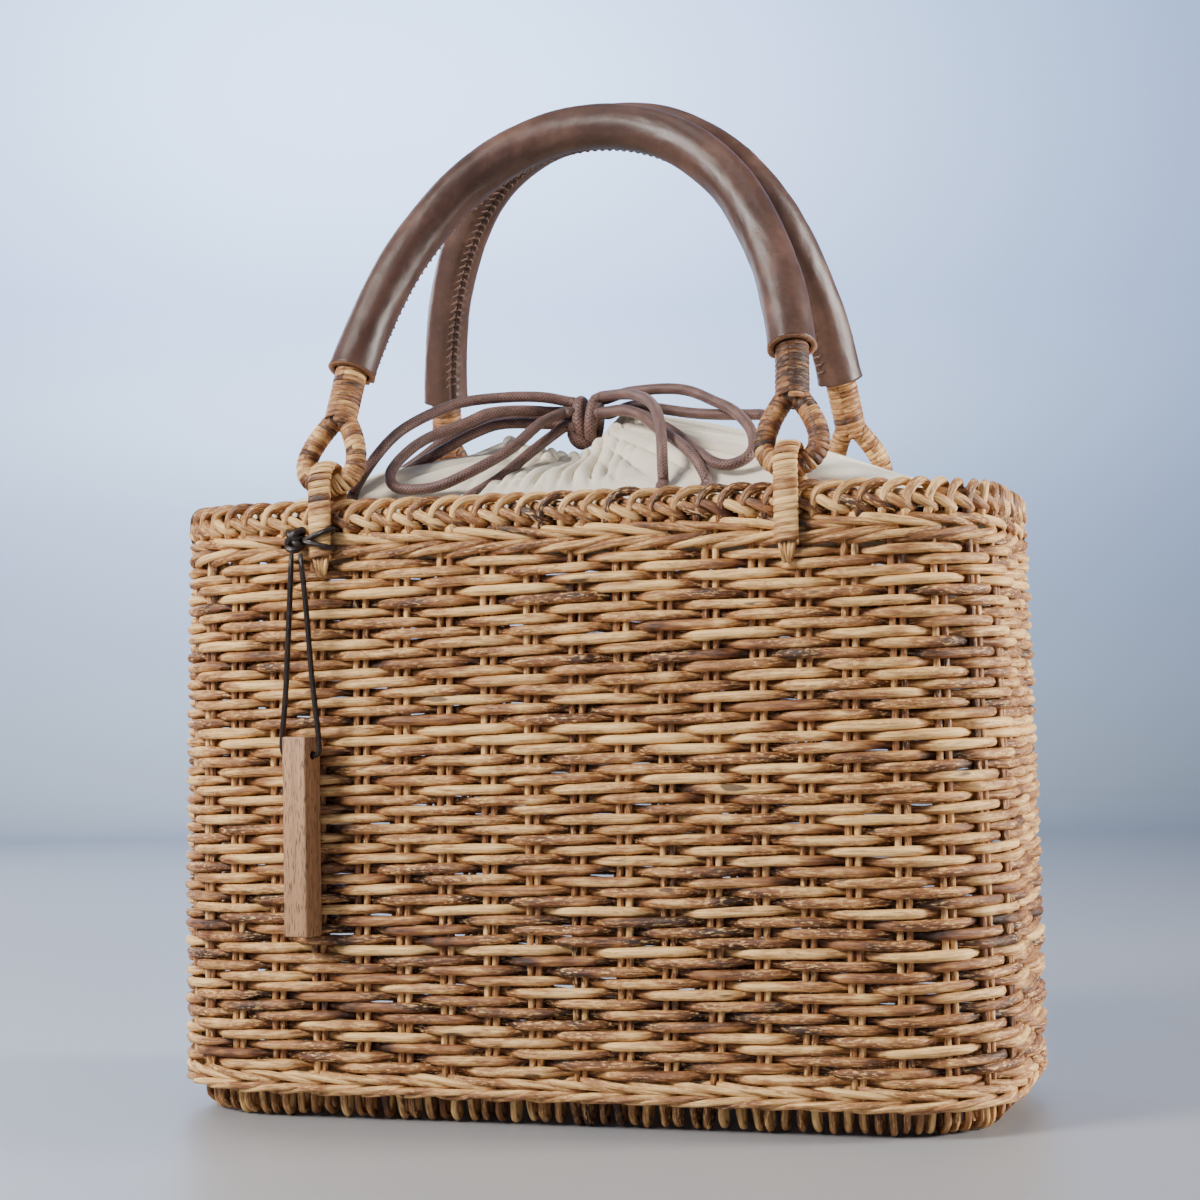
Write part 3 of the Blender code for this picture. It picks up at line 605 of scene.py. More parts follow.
def edge_finish(name):
    """Raw cut edge of leather."""
    made, tree, shader = start_finish(name)
    colour = settings().handle.cut_edge
    place = add(tree, "TexCoord").outputs["Object"]
    fuzz = grain(tree, place, (1500.0, 1500.0, 1500.0), 3.0, 0.7)
    dark = tuple(c * 0.45 for c in colour)
    tree.links.new(ramp(tree, fuzz, ((0.35, dark), (0.62, colour))), shader.inputs["Base Color"])
    shader.inputs["Roughness"].default_value = 0.85
    relief(tree, shader, fuzz, 0.5, 0.0003)
    return made


def cloth_finish(name):
    """Plain-woven cotton: crossing threads with slubs, from the cloth's own place in metres."""
    made, tree, shader = start_finish(name)
    colour = settings().cloth.cotton
    place = add(tree, "Attribute", attribute_name="cloth").outputs["Vector"]
    parts = add(tree, "SeparateXYZ", {0: place})
    pitch = 2 * math.pi / 0.00062
    warp = maths(tree, "SINE", maths(tree, "MULTIPLY", parts.outputs[0], pitch))
    weft = maths(tree, "SINE", maths(tree, "MULTIPLY", parts.outputs[1], pitch))
    threads = maths(tree, "MULTIPLY", warp, weft)
    slub_a = grain(tree, place, (90.0, 1700.0, 1.0), 2.0, 0.6)
    slub_b = grain(tree, place, (1700.0, 90.0, 1.0), 2.0, 0.6)
    slubs = maths(tree, "ADD", slub_a, slub_b)
    cloud = grain(tree, place, (40.0, 40.0, 1.0), 3.0, 0.5)
    crumple = grain(tree, place, (150.0, 110.0, 1.0), 4.0, 0.55)
    pale = tuple(min(1.0, c * 1.12) for c in colour)
    deep = tuple(c * 0.80 for c in colour)
    base = ramp(tree, cloud, ((0.3, deep), (0.5, colour), (0.75, pale)))
    base = blend_colour(tree, spread(tree, slubs, 0.85, 1.22, 0.0, 0.5), base, (0.78, 0.74, 0.68, 1.0),
                        "MULTIPLY")
    base = blend_colour(tree, spread(tree, threads, -1.0, -0.2, 0.22, 0.0), base, (0.72, 0.68, 0.62, 1.0),
                        "MULTIPLY")
    # Painted shade: the cloth is darkened in the creases of its gathers, by the crease attribute
    crease = add(tree, "Attribute", attribute_name="crease").outputs["Fac"]
    base = blend_colour(tree, maths(tree, "MULTIPLY", crease, 0.75), base, (0.52, 0.45, 0.37, 1.0),
                        "MULTIPLY")
    tree.links.new(base, shader.inputs["Base Color"])
    shader.inputs["Roughness"].default_value = 0.92
    shader.inputs["Sheen Weight"].default_value = 0.25
    height = maths(tree, "MULTIPLY_ADD", slubs, 1.2, maths(tree, "MULTIPLY", threads, 0.45))
    height = maths(tree, "MULTIPLY_ADD", crumple, 7.0, height)
    relief(tree, shader, height, 0.4, 0.0003)
    return made


def cord_finish(name, colour, ribs=1150.0, gloss=0.5, worn=0.012, sheen=0.15):
    """Waxed round cord with a fine diagonal weave that follows the cord, paler where it is worn, with the
    weave's ribs painted into the colour as shade in the grooves and highlight on the crests.
    """
    made, tree, shader = start_finish(name)
    fibre = add(tree, "Attribute", attribute_name="fibre").outputs["Vector"]
    parts = add(tree, "SeparateXYZ", {0: fibre})
    angle = maths(tree, "ARCTAN2", parts.outputs[2], parts.outputs[1])
    run = maths(tree, "MULTIPLY", parts.outputs[0], ribs * 4.4)
    wound = maths(tree, "MULTIPLY", angle, 8.0)
    left = maths(tree, "SINE", maths(tree, "ADD", run, wound))
    right = maths(tree, "SINE", maths(tree, "SUBTRACT", run, wound))
    ribs_height = maths(tree, "MAXIMUM", left, right)
    wear = grain(tree, fibre, (160.0, 500.0, 500.0), 3.0, 0.6)
    fluff = grain(tree, fibre, (1800.0, 2600.0, 2600.0), 2.0, 0.6)
    pale = tuple(min(1.0, c * 2.3 + worn) for c in colour)
    deep = tuple(c * 0.5 for c in colour)
    # Painted shade and highlight: the colour follows the ribs' height, darker in the grooves and paler on the
    # crests, mixed with the real wear
    shade = maths(tree, "MULTIPLY_ADD", ribs_height, 0.30, wear)
    base = ramp(tree, shade, ((0.34, deep), (0.64, colour), (0.94, pale)))
    base = blend_colour(tree, spread(tree, fluff, 0.55, 0.68, 0.0, 0.55), base, (*pale, 1.0))
    tree.links.new(base, shader.inputs["Base Color"])
    shader.inputs["Roughness"].default_value = gloss
    shader.inputs["Sheen Weight"].default_value = sheen
    relief(tree, shader, maths(tree, "MULTIPLY_ADD", fluff, 0.5, ribs_height), 0.45, 0.00018)
    return made


def wood_finish(name):
    """Oiled wood with fine grain and short dark pores along its length."""
    made, tree, shader = start_finish(name)
    colour = settings().cloth.wood
    place = add(tree, "TexCoord").outputs["Object"]
    bands = grain(tree, place, (420.0, 420.0, 9.0), 3.0, 0.6)
    threads = grain(tree, place, (2600.0, 2600.0, 60.0), 3.0, 0.6)
    pores = grain(tree, place, (2300.0, 2300.0, 260.0), 1.0, 0.5)
    pale = tuple(min(1.0, c * 1.25) for c in colour)
    deep = tuple(c * 0.72 for c in colour)
    base = ramp(tree, maths(tree, "MULTIPLY_ADD", threads, 0.4, maths(tree, "MULTIPLY", bands, 0.7)),
                ((0.35, deep), (0.55, colour), (0.75, pale)))
    dark = tuple(c * 0.32 for c in colour)
    base = blend_colour(tree, spread(tree, pores, 0.55, 0.64, 0.0, 0.9), base, (*dark, 1.0))
    tree.links.new(base, shader.inputs["Base Color"])
    shader.inputs["Roughness"].default_value = 0.5
    relief(tree, shader, maths(tree, "SUBTRACT", threads, spread(tree, pores, 0.6, 0.68, 0.0, 1.0)), 0.35,
           0.0002)
    return made


def stake_way(index):
    return STAKE_START + OUTLINE.length * index / settings().weave.stake_pairs


def build_weavers():
    """Rows of rods that pass before two pairs of stakes and behind the third."""
    weave = settings().weave
    pairs = weave.stake_pairs
    steps = 6
    radius = weave.weaver_diameter / 2
    low, high = WALL_LOW.z, WALL_HIGH.z
    pitch = (high - low) / weave.rows
    outer, inner = -radius, -radius - 0.0045
    rng = random.Random(11)
    rows = []
    for row in range(weave.rows):
        height = low + (row + 0.5) * pitch
        points, sizes, painted_shading = [], [], []
        for i in range(pairs * steps):
            along = i / steps
            index = int(along)
            share = ease((along - index - 0.17) / 0.66)
            first = inner if (index + row) % 3 == 0 else outer
            second = inner if (index + 1 + row) % 3 == 0 else outer
            depth = first + (second - first) * share
            dive = (outer - depth) / (outer - inner)
            uneven = noise.noise(Vector((i * 0.21, row * 5.3, 2.0))) * 0.12
            sizes.append(1.05 - 0.13 * math.sin(math.pi * dive) - 0.05 * dive + uneven)
            way = STAKE_START + OUTLINE.length * i / (pairs * steps)
            spot, outward = OUTLINE.at(way)
            wave = noise.noise(Vector((spot.x * 14, spot.y * 14, row * 0.11))) * 0.0009
            own = noise.noise(Vector((spot.x * 38, spot.y * 38, row * 3.7))) * 0.0004
            bow = noise.noise(Vector((spot.x * 30, spot.y * 30, 9 + row * 2.9))) * 0.0005
            stroke = ((along + row) % 3.0) / 3.0
            side = 2 * stroke - 1
            slant = 0.0005 * side * min(1.0, (1 - abs(side)) / 0.25)
            # Painted shade and highlight in the tone: each stroke is darker where it dives behind the stakes
            # (painted shade, with a little dirt in the crevices) and lighter in its middle (painted
            # highlight)
            painted_shading.append(0.20 * (math.sin(math.pi * stroke) - 0.6) - 0.22 * dive)
            z = min(max(height + wave + own + slant, low + radius), high - radius)
            place = spot + outward * (wall_offset(height) + depth + bow - 0.0002)
            place.z = z
            points.append(place)
        # Painted shade: the lower rows take a darker tone, as the light from above falls off down the wall
        tone = rng.uniform(0.24, 0.86) - 0.08 * (1 - row / weave.rows)
        joint = ((-row) % 3 + 3 * rng.randrange(pairs // 3)) * steps
        rows.append({"points": points[joint:] + points[:joint], "sizes": sizes[joint:] + sizes[:joint],
                     "tone": [tone + shade for shade in painted_shading[joint:] + painted_shading[:joint]],
                     "shift": rng.uniform(0, 40), "thick": rng.uniform(0.93, 1.05)})
    finish = rattan_finish("rattan_weavers")
    half = len(rows) // 2
    for name, part in (("weavers_lower", rows[:half]), ("weavers_upper", rows[half:])):
        made = strand_object(name, part, radius, 8, closed=True)
        dress(made, finish, "basket", ("basket_wall",))


def build_stakes():
    """Two stakes side by side at every place, from the foot up to the rim."""
    weave = settings().weave
    radius = weave.stake_diameter / 2
    rng = random.Random(5)
    strands = []
    for index in range(weave.stake_pairs):
        lean = rng.uniform(-0.0005, 0.0005)
        for side in (-1, 1):
            points = []
            for step in range(15):
                share = step / 14
                height = STAKE_FOOT + (STAKE_TOP - STAKE_FOOT) * share
                way = (stake_way(index) + side * STAKE_HALF_GAP + lean * math.sin(3.1 * share)
                       + side * 0.0004 * share)
                depth = wall_offset(height) - STAKE_DEPTH + rng.uniform(-0.0001, 0.0001)
                points.append(OUTLINE.place(way, depth, height))
            strands.append({"points": points, "tone": rng.uniform(0.20, 0.62), "shift": rng.uniform(0, 40),
                            "thick": rng.uniform(0.92, 1.05)})
    made = strand_object("stakes", strands, radius, 6)
    dress(made, rattan_finish("rattan_stakes", gloss=0.55), "basket")


def wale_strands(height, half_rise, slope, radius, rng, thick_range=(0.9, 1.06)):
    """Three rods that turn about each other: each passes before two pairs of stakes on a slant."""
    pairs = settings().weave.stake_pairs
    steps = 7
    outer, inner = -radius, -radius - WALE_DEPTH
    strands = []
    for phase in range(3):
        points = []
        tone = rng.uniform(0.3, 0.8)
        for i in range(pairs * steps):
            along = (i / steps - phase) / 3.0
            turn = along % 1.0
            if turn < WALE_FRONT:
                share = turn / WALE_FRONT
                z = slope * half_rise * (2 * share - 1)
                depth = outer - (outer - inner) * (1 - math.sin(math.pi * share) ** 0.5) * 0.7
            else:
                share = (turn - WALE_FRONT) / (1 - WALE_FRONT)
                z = slope * half_rise * (1 - 2 * ease(share))
                depth = inner + (outer - inner) * 0.25 * abs(2 * share - 1)
            way = STAKE_START + OUTLINE.length * i / (pairs * steps)
            spot, outward = OUTLINE.at(way)
            waver = noise.noise(Vector((spot.x * 60, spot.y * 60, phase * 7 + height * 90))) * 0.0007
            place = spot + outward * (wall_offset(height) + depth)
            place.z = height + z + waver
            points.append(place)
        # Each rod starts and ends behind the others, and at another place round the basket
        joint = int((phase + 2.52 + 3 * (5 + 4 * phase)) * steps)
        strands.append({"points": points[joint:] + points[:joint], "tone": tone, "shift": rng.uniform(0, 40),
                        "thick": rng.uniform(*thick_range)})
    return strands


def build_wales():
    """Slanting rods over and under the woven wall, two rows each, leaning opposite ways."""
    rng = random.Random(23)
    finish = rattan_finish("rattan_wales", lift=0.03)
    upper_middle = (UPPER_WALE_LOW.z + UPPER_WALE_HIGH.z) / 2
    lower_middle = (LOWER_WALE_LOW.z + LOWER_WALE_HIGH.z) / 2
    rows = wale_strands(upper_middle + 0.0025, 0.0018, -1, UPPER_WALE_ROD, rng)
    rows += wale_strands(upper_middle - 0.0022, 0.0020, 1, UPPER_WALE_ROD, rng)
    made = strand_object("upper_wale_rods", rows, UPPER_WALE_ROD, 8, closed=True)
    dress(made, finish, "basket", ("upper_wale",))
    rows = wale_strands(lower_middle + 0.0021, 0.0015, -1, LOWER_WALE_ROD, rng)
    rows += wale_strands(lower_middle - 0.0017, 0.0015, 1, LOWER_WALE_ROD, rng)
    made = strand_object("lower_wale_rods", rows, LOWER_WALE_ROD, 8, closed=True)
    dress(made, finish, "basket", ("lower_wale",))


# One rim arc, in mm: way to the right, depth behind the rim's face, height below the rim's top
RIM_ARC = (
    (-0.4, 2.2, 13.2),
    (-0.2, 1.6, 9.6),
    (0.3, 1.5, 6.6),
    (1.8, 1.6, 3.8),
    (4.8, 2.9, 2.0),
    (8.4, 5.0, 1.8),
    (11.4, 7.0, 3.2),
    (13.2, 7.9, 5.8),
    (14.4, 8.0, 8.8),
)
# The rod that comes back out under the arcs, in the same measures
RIM_RETURN = (
    (-4.8, 7.4, 5.0),
    (-2.8, 5.2, 5.2),
    (-0.3, 3.0, 6.0),
    (2.8, 1.7, 7.2),
    (6.0, 1.3, 8.8),
    (9.0, 1.9, 10.2),
    (11.4, 4.2, 11.0),
)


def rim_strand(route, way, rng):
    points = []
    stretch = rng.uniform(0.9, 1.08)
    for right, depth, drop in route:
        points.append(OUTLINE.place(
            way + right * stretch / 1000 + rng.uniform(-0.0003, 0.0003), -depth / 1000,
            RIM_HEIGHT - drop / 1000 + rng.uniform(-0.0003, 0.0002)))
    return smooth_route(points, per_span=2)


def build_rim():
    """Border of the rim: arcs that curl over the edge and rods that come back out under them."""
    weave = settings().weave
    rng = random.Random(31)
    strands = []
    pitch = OUTLINE.length / (2 * weave.stake_pairs)
    for index in range(2 * weave.stake_pairs):
        way = STAKE_START + (index + 0.5) * pitch
        for route, thick in ((RIM_ARC, 1.0), (RIM_RETURN, RIM_RETURN_THICKNESS)):
            strands.append({"points": rim_strand(route, way, rng), "tone": rng.uniform(0.10, 0.74),
                            "shift": rng.uniform(0, 40), "thick": rng.uniform(0.93, 1.06) * thick})
    made = strand_object("rim_arcs", strands, RIM_ROD, 8)
    dress(made, rattan_finish("rattan_rim"), "basket", ("rim_border",))
    # The inner rods take the darkest tone and a darker finish: painted shade in the gaps under the rim arcs
    inner = []
    for drop in RIM_INNER_DROPS:
        points = [OUTLINE.place(OUTLINE.length * i / 240, -RIM_INNER_DEPTH, RIM_HEIGHT - drop / 1000)
                  for i in range(240)]
        inner.append({"points": points, "tone": 0.0, "shift": drop})
    made = strand_object("rim_inner_rods", inner, RIM_INNER_ROD, 6, closed=True)
    dress(made, rattan_finish("rattan_rim_inside", lift=-0.15), "basket")


# One curl of the foot in mm: depth behind the foot's face and height
FOOT_CURL = (
    (0.9, 10.2),
    (1.1, 7.4),
    (1.3, 4.4),
    (2.4, 2.0),
    (4.4, 1.35),
    (6.4, 2.2),
    (7.4, 4.6),
    (7.7, 8.6),
)


def build_foot():
    """Curled stubs that the basket stands on: three to each pair of stakes."""
    weave = settings().weave
    rng = random.Random(47)
    strands = []
    count = 3 * weave.stake_pairs
    top = FOOT_CURL[0][1]
    for index in range(count):
        way = STAKE_START + OUTLINE.length * index / count
        stub = index % 3 == 0
        lean = rng.uniform(-0.8, 1.9) if not stub else rng.uniform(-0.3, 0.5)
        lift = rng.uniform(0.0, 0.9) if index % 4 else 0.0
        points = []
        for depth, height in FOOT_CURL:
            shift = lean * (top - height) / top
            height += lift * (top - height) / top
            inset = depth - (FOOT_STUB_INSET if stub and height > 4 else 0.0)
            points.append(OUTLINE.place(way + (shift + rng.uniform(-0.15, 0.15)) / 1000,
                                        -FOOT_INSET - inset / 1000, height / 1000))
        strands.append({"points": smooth_route(points, per_span=2), "tone": rng.uniform(0.24, 0.76),
                        "shift": rng.uniform(0, 40), "thick": rng.uniform(0.84, 1.0)})
    made = strand_object("foot_curls", strands, FOOT_ROD, 8)
    dress(made, rattan_finish("rattan_foot", lift=-0.05), "basket", ("foot_border",))


def build_base():
    """Woven bottom: rods along the basket over and under rods across it."""
    low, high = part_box("basket_base")
    middle = (low.z + high.z) / 2
    rng = random.Random(61)
    strands = []
    reach_x, reach_y = high.x - BASE_INSET, high.y - BASE_INSET

    def limit(value, reach, other_reach):
        """How far a rod at this place reaches before it meets the rounded corner."""
        past = abs(value) - (reach - BASE_CORNER)
        if past <= 0:
            return other_reach
        return other_reach - BASE_CORNER + math.sqrt(max(BASE_CORNER ** 2 - past ** 2, 0.0))

    for index in range(BASE_RODS_ALONG):
        y = -reach_y + 0.003 + (2 * reach_y - 0.006) * index / (BASE_RODS_ALONG - 1)
        end = limit(y, reach_y, reach_x)
        points = [Vector((-end + 2 * end * i / 12, y, middle)) for i in range(13)]
        strands.append({"points": points, "tone": rng.uniform(0.3, 0.6), "shift": rng.uniform(0, 40)})
    for index in range(BASE_RODS_ACROSS):
        x = -reach_x + 0.002 + (2 * reach_x - 0.004) * index / (BASE_RODS_ACROSS - 1)
        end = limit(x, reach_x, reach_y)
        points = []
        count = 4 * BASE_RODS_ALONG
        for i in range(count + 1):
            y = -end + 2 * end * i / count
            turn = math.pi * (y + reach_y - 0.003) / (2 * reach_y - 0.006) * (BASE_RODS_ALONG - 1)
            lift = BASE_WAVE * math.cos(turn) * (1 if index % 2 else -1)
            points.append(Vector((x, y, middle + lift)))
        strands.append({"points": points, "tone": rng.uniform(0.25, 0.75), "shift": rng.uniform(0, 40),
                        "thick": rng.uniform(0.9, 1.0)})
    made = strand_object("base_weave", strands, BASE_ROD, 6)
    dress(made, rattan_finish("rattan_base"), "basket", ("basket_base",))


def winding(path, wide, half_wide, half_deep, pitch, rng, steps=14):
    """Peel wound round a rod: points along the path and the directions in which the peel is flat.

    The oval that it is wound on lies along wide and across it (heading x wide).
    """
    turns = max(2, round(route_length(path) / pitch))
    count = turns * steps
    line = resample(path, count + 1)
    points, flats = [], []
    for i, point in enumerate(line):
        heading = (line[min(i + 1, count)] - line[max(i - 1, 0)]).normalized()
        deep = heading.cross(wide).normalized()
        turn = 2 * math.pi * i / steps
        inset = 1.0 + rng.uniform(-0.004, 0.004)
        points.append(point + wide * half_wide * inset * math.cos(turn)
                      + deep * half_deep * inset * math.sin(turn))
        flats.append((wide * math.cos(turn) / half_wide + deep * math.sin(turn) / half_deep).normalized())
    return points, flats


def wound_strands(path, wide, half_wide, half_deep, pitch, rng, tone, steps=14, piece_turns=5):
    """A winding cut into lengths of a few turns, each with its own tone."""
    points, flats = winding(path, wide, half_wide, half_deep, pitch, rng, steps)
    strands = []
    size = piece_turns * steps
    start = 0
    while start < len(points) - 2:
        end = min(start + size + 1, len(points))
        if len(points) - end < steps:
            end = len(points)
        strands.append({"points": points[start:end], "flat": flats[start:end],
                        "tone": tone + rng.uniform(-0.24, 0.24), "shift": rng.uniform(0, 40),
                        "thick": rng.uniform(0.92, 1.06)})
        start = end - 1
    return strands


def build_staples():
    """Straps of wound peel over the rim, with the ends of their rods poking into the weave."""
    half = STAPLE_THICKNESS / 2
    outside = RIM_HALF_DEPTH + wall_offset(RIM_HEIGHT - STAPLE_DROP) + SEAT_GAP + half
    inside = RIM_HALF_DEPTH - RIM_THICKNESS - SEAT_GAP - half
    radius = (outside - inside) / 2
    middle = (outside + inside) / 2
    finish = rattan_finish("peel_staples", gloss=0.40, fleck=0.25)
    # The rods inside the winding get a darker finish: painted shade where they show between the wraps; the
    # tips take a higher tone
    core_finish = rattan_finish("rattan_cores", lift=-0.25)
    for side_name, sign in (("front", -1), ("back", 1)):
        for end_name, x in (("left", -STAPLE_X), ("right", STAPLE_X)):
            rng = random.Random(side_name + end_name)
            path = [Vector((x, sign * outside, RIM_HEIGHT - STAPLE_DROP + 0.001)),
                    Vector((x, sign * outside, RIM_HEIGHT - STAPLE_DROP / 2))]
            for step in range(17):
                turn = math.pi * step / 16
                path.append(Vector((x, sign * (middle + radius * math.cos(turn)),
                                    HINGE_Z + radius * math.sin(turn))))
            path.append(Vector((x, sign * inside, RIM_HEIGHT - STAPLE_INSIDE_DROP + 0.001)))
            wide = Vector((1, 0, 0))
            strands = wound_strands(path, wide, STAPLE_HALF_WIDTH - 0.0006, half - 0.00045, STAPLE_PITCH,
                                    rng, 0.62, steps=16, piece_turns=1)
            name = "rim_staple_" + side_name + "_" + end_name
            made = strand_object(name + "_peel", strands, STAPLE_PEEL, 8, flat=0.30)
            dress(made, finish, "basket", (name,))
            rods = []
            line = resample(path, 30)
            for side in (-1, 1):
                rods.append({"points": [p + wide * side * 0.0018 for p in line], "tone": 0.3,
                             "shift": side * 3.0})
            for tip in range(4):
                spread_x = (tip - 1.5) * 0.0017
                foot = Vector((x + spread_x, sign * (outside - 0.0004), RIM_HEIGHT - STAPLE_DROP + 0.0018))
                slant = Vector((-spread_x * 0.62, -sign * 0.0011, -0.0066 - rng.uniform(0, 0.0014)))
                rods.append({"points": [foot, foot + slant * 0.5, foot + slant],
                             "tone": rng.uniform(0.75, 1.0),
                             "shift": rng.uniform(0, 9), "thick": 0.72})
            made = strand_object(name + "_rods", rods, 0.0013, 6)
            dress(made, core_finish, "basket")


class Arch:
    """Flat arch of one handle: u runs along X and v up the leaning plane from the hinge axis."""

    def __init__(self, name):
        self.sign, self.half, self.rise, self.power = ARCHES[name]
        top = ARCH_LIFT + self.rise
        reach = HINGE_Y - GRIP_RADIUS - GRIP_GAP / 2
        lean = math.asin(max(-1.0, min(1.0, reach / top)))
        self.hinge = Vector((0, self.sign * HINGE_Y, HINGE_Z))
        self.up = Vector((0, -self.sign * math.sin(lean), math.cos(lean)))
        self.normal = Vector((1, 0, 0)).cross(self.up)

    def place(self, u, v):
        return self.hinge + Vector((u, 0, 0)) + self.up * v

    def bow(self, turn):
        cosine = math.cos(turn)
        u = math.copysign(self.half * abs(cosine) ** (2 / self.power), cosine)
        return u, ARCH_LIFT + self.rise * math.sin(turn) ** (2 / self.power)

    def grip_line(self, steps=60):
        start = math.asin(((GRIP_START - ARCH_LIFT) / self.rise) ** (self.power / 2))
        return [self.bow(start + (math.pi - 2 * start) * i / steps) for i in range(steps + 1)]

    def draw_in(self, v):
        share = max(0.0, v - LOOP_STRAIGHT) / (GRIP_START - LOOP_STRAIGHT)
        return (self.grip_line()[0][0] - STAPLE_X) * share


def loop_line(arch, side):
    """Half-open teardrop: down one leg, round the bow and up the other leg into the stem."""
    radius = LOOP_INNER_HALF + LOOP_ROD_RADIUS
    top = FORK_RISE - LOOP_ROD_RADIUS * 0.3
    lift = radius * 0.95
    leg = []
    for step in range(1, 7):
        share = step / 6
        width = radius * (1 - share ** 1.6) + LOOP_ROD_RADIUS * 0.35 * share
        leg.append((width, lift + (top - lift) * share))
    made = [(-width, height) for width, height in reversed(leg)]
    for step in range(13):
        turn = math.pi * (1 + step / 12)
        made.append((radius * math.cos(turn), lift + lift * math.sin(turn)))
    made += leg
    return [arch.place(side * (STAPLE_X + arch.draw_in(v)) + u, v) for u, v in made]


# Tone of the peel on each stem, from 0, dark, to 1, straw
STEM_TONES = {
    ("front", "left"): 0.34,
    ("front", "right"): 0.02,
    ("back", "left"): 0.14,
    ("back", "right"): 0.50,
}


def build_handles():
    """Wound stems and loops of both handles."""
    peel = settings().handle.peel_width
    strip = peel * 0.60
    finish = rattan_finish("peel_handles", gloss=0.42, fleck=0.25)
    # The cores under the peel get a dark tone and a darker finish: painted shade where they show between the
    # wraps
    core_finish = rattan_finish("rattan_handle_cores", lift=-0.3)
    for name in ARCHES:
        arch = Arch(name)
        line = arch.grip_line()
        strands = []
        cores = []
        for end_name, side in (("left", -1), ("right", 1)):
            rng = random.Random(name + end_name + "wound")
            low = FORK_RISE - STEM_RADIUS * 0.7
            foot = arch.place(side * (STAPLE_X + arch.draw_in(low)), low)
            ends = line[:6] if side > 0 else line[::-1][:6]
            stem = [foot] + [arch.place(u, v) for u, v in ends]
            tone = STEM_TONES[name, end_name]
            strands += wound_strands(stem, arch.normal, STEM_RADIUS - 0.00055, STEM_RADIUS - 0.00055,
                                     peel * 0.98, rng, tone, piece_turns=1)
            loop = loop_line(arch, side)
            rod = LOOP_ROD_RADIUS - 0.00055
            strands += wound_strands(loop, arch.normal, rod, rod, peel * 0.92, rng, 0.30 + 0.4 * tone,
                                     piece_turns=2)
            cores.append({"points": resample(stem, 12), "tone": 0.2, "thick": (STEM_RADIUS - 0.0007) / 0.003})
            cores.append({"points": resample(loop, 40), "tone": 0.2,
                          "thick": (LOOP_ROD_RADIUS - 0.0008) / 0.003})
        made = strand_object(name + "_handle_peel", strands, strip, 8, flat=0.36)
        dress(made, finish, name + "_handle", (name + "_handle_core",))
        made = strand_object(name + "_handle_rods", cores, 0.003, 10)
        dress(made, core_finish, name + "_handle")


def grip_frame(arch, steps):
    """Points along the grip with their outward directions."""
    line = resample([arch.place(u, v) for u, v in arch.grip_line(240)], steps + 1)
    made = []
    for i, point in enumerate(line):
        heading = (line[min(i + 1, steps)] - line[max(i - 1, 0)]).normalized()
        made.append((point, heading.cross(arch.normal).normalized()))
    return made


def grip_radius(along, turn, seam_turn, end_share):
    """Radius of the leather: a furrow at the seam, a raised lip on each side of it and soft dents."""
    gap = math.degrees(math.remainder(turn - seam_turn, 2 * math.pi))
    pull = 0.5 + 0.5 * math.cos(2 * math.pi * along / settings().handle.stitch_length)
    furrow = -0.0009 * math.exp(-(gap / 4.5) ** 2)
    lips = 0.00045 * math.exp(-((abs(gap) - 12.0) / 6.0) ** 2)
    pits = -0.0005 * pull * math.exp(-((abs(gap) - 17.0) / 5.0) ** 2)
    dents = noise.noise(Vector((along * 45, math.cos(turn) * 1.4, math.sin(turn) * 1.4))) * 0.00045
    fine = noise.noise(Vector((along * 160, math.cos(turn) * 4, math.sin(turn) * 4))) * 0.00012
    flare = 0.00035 * math.exp(-end_share * 90)
    return GRIP_RADIUS - 0.00035 + furrow + lips + pits + dents + fine + flare


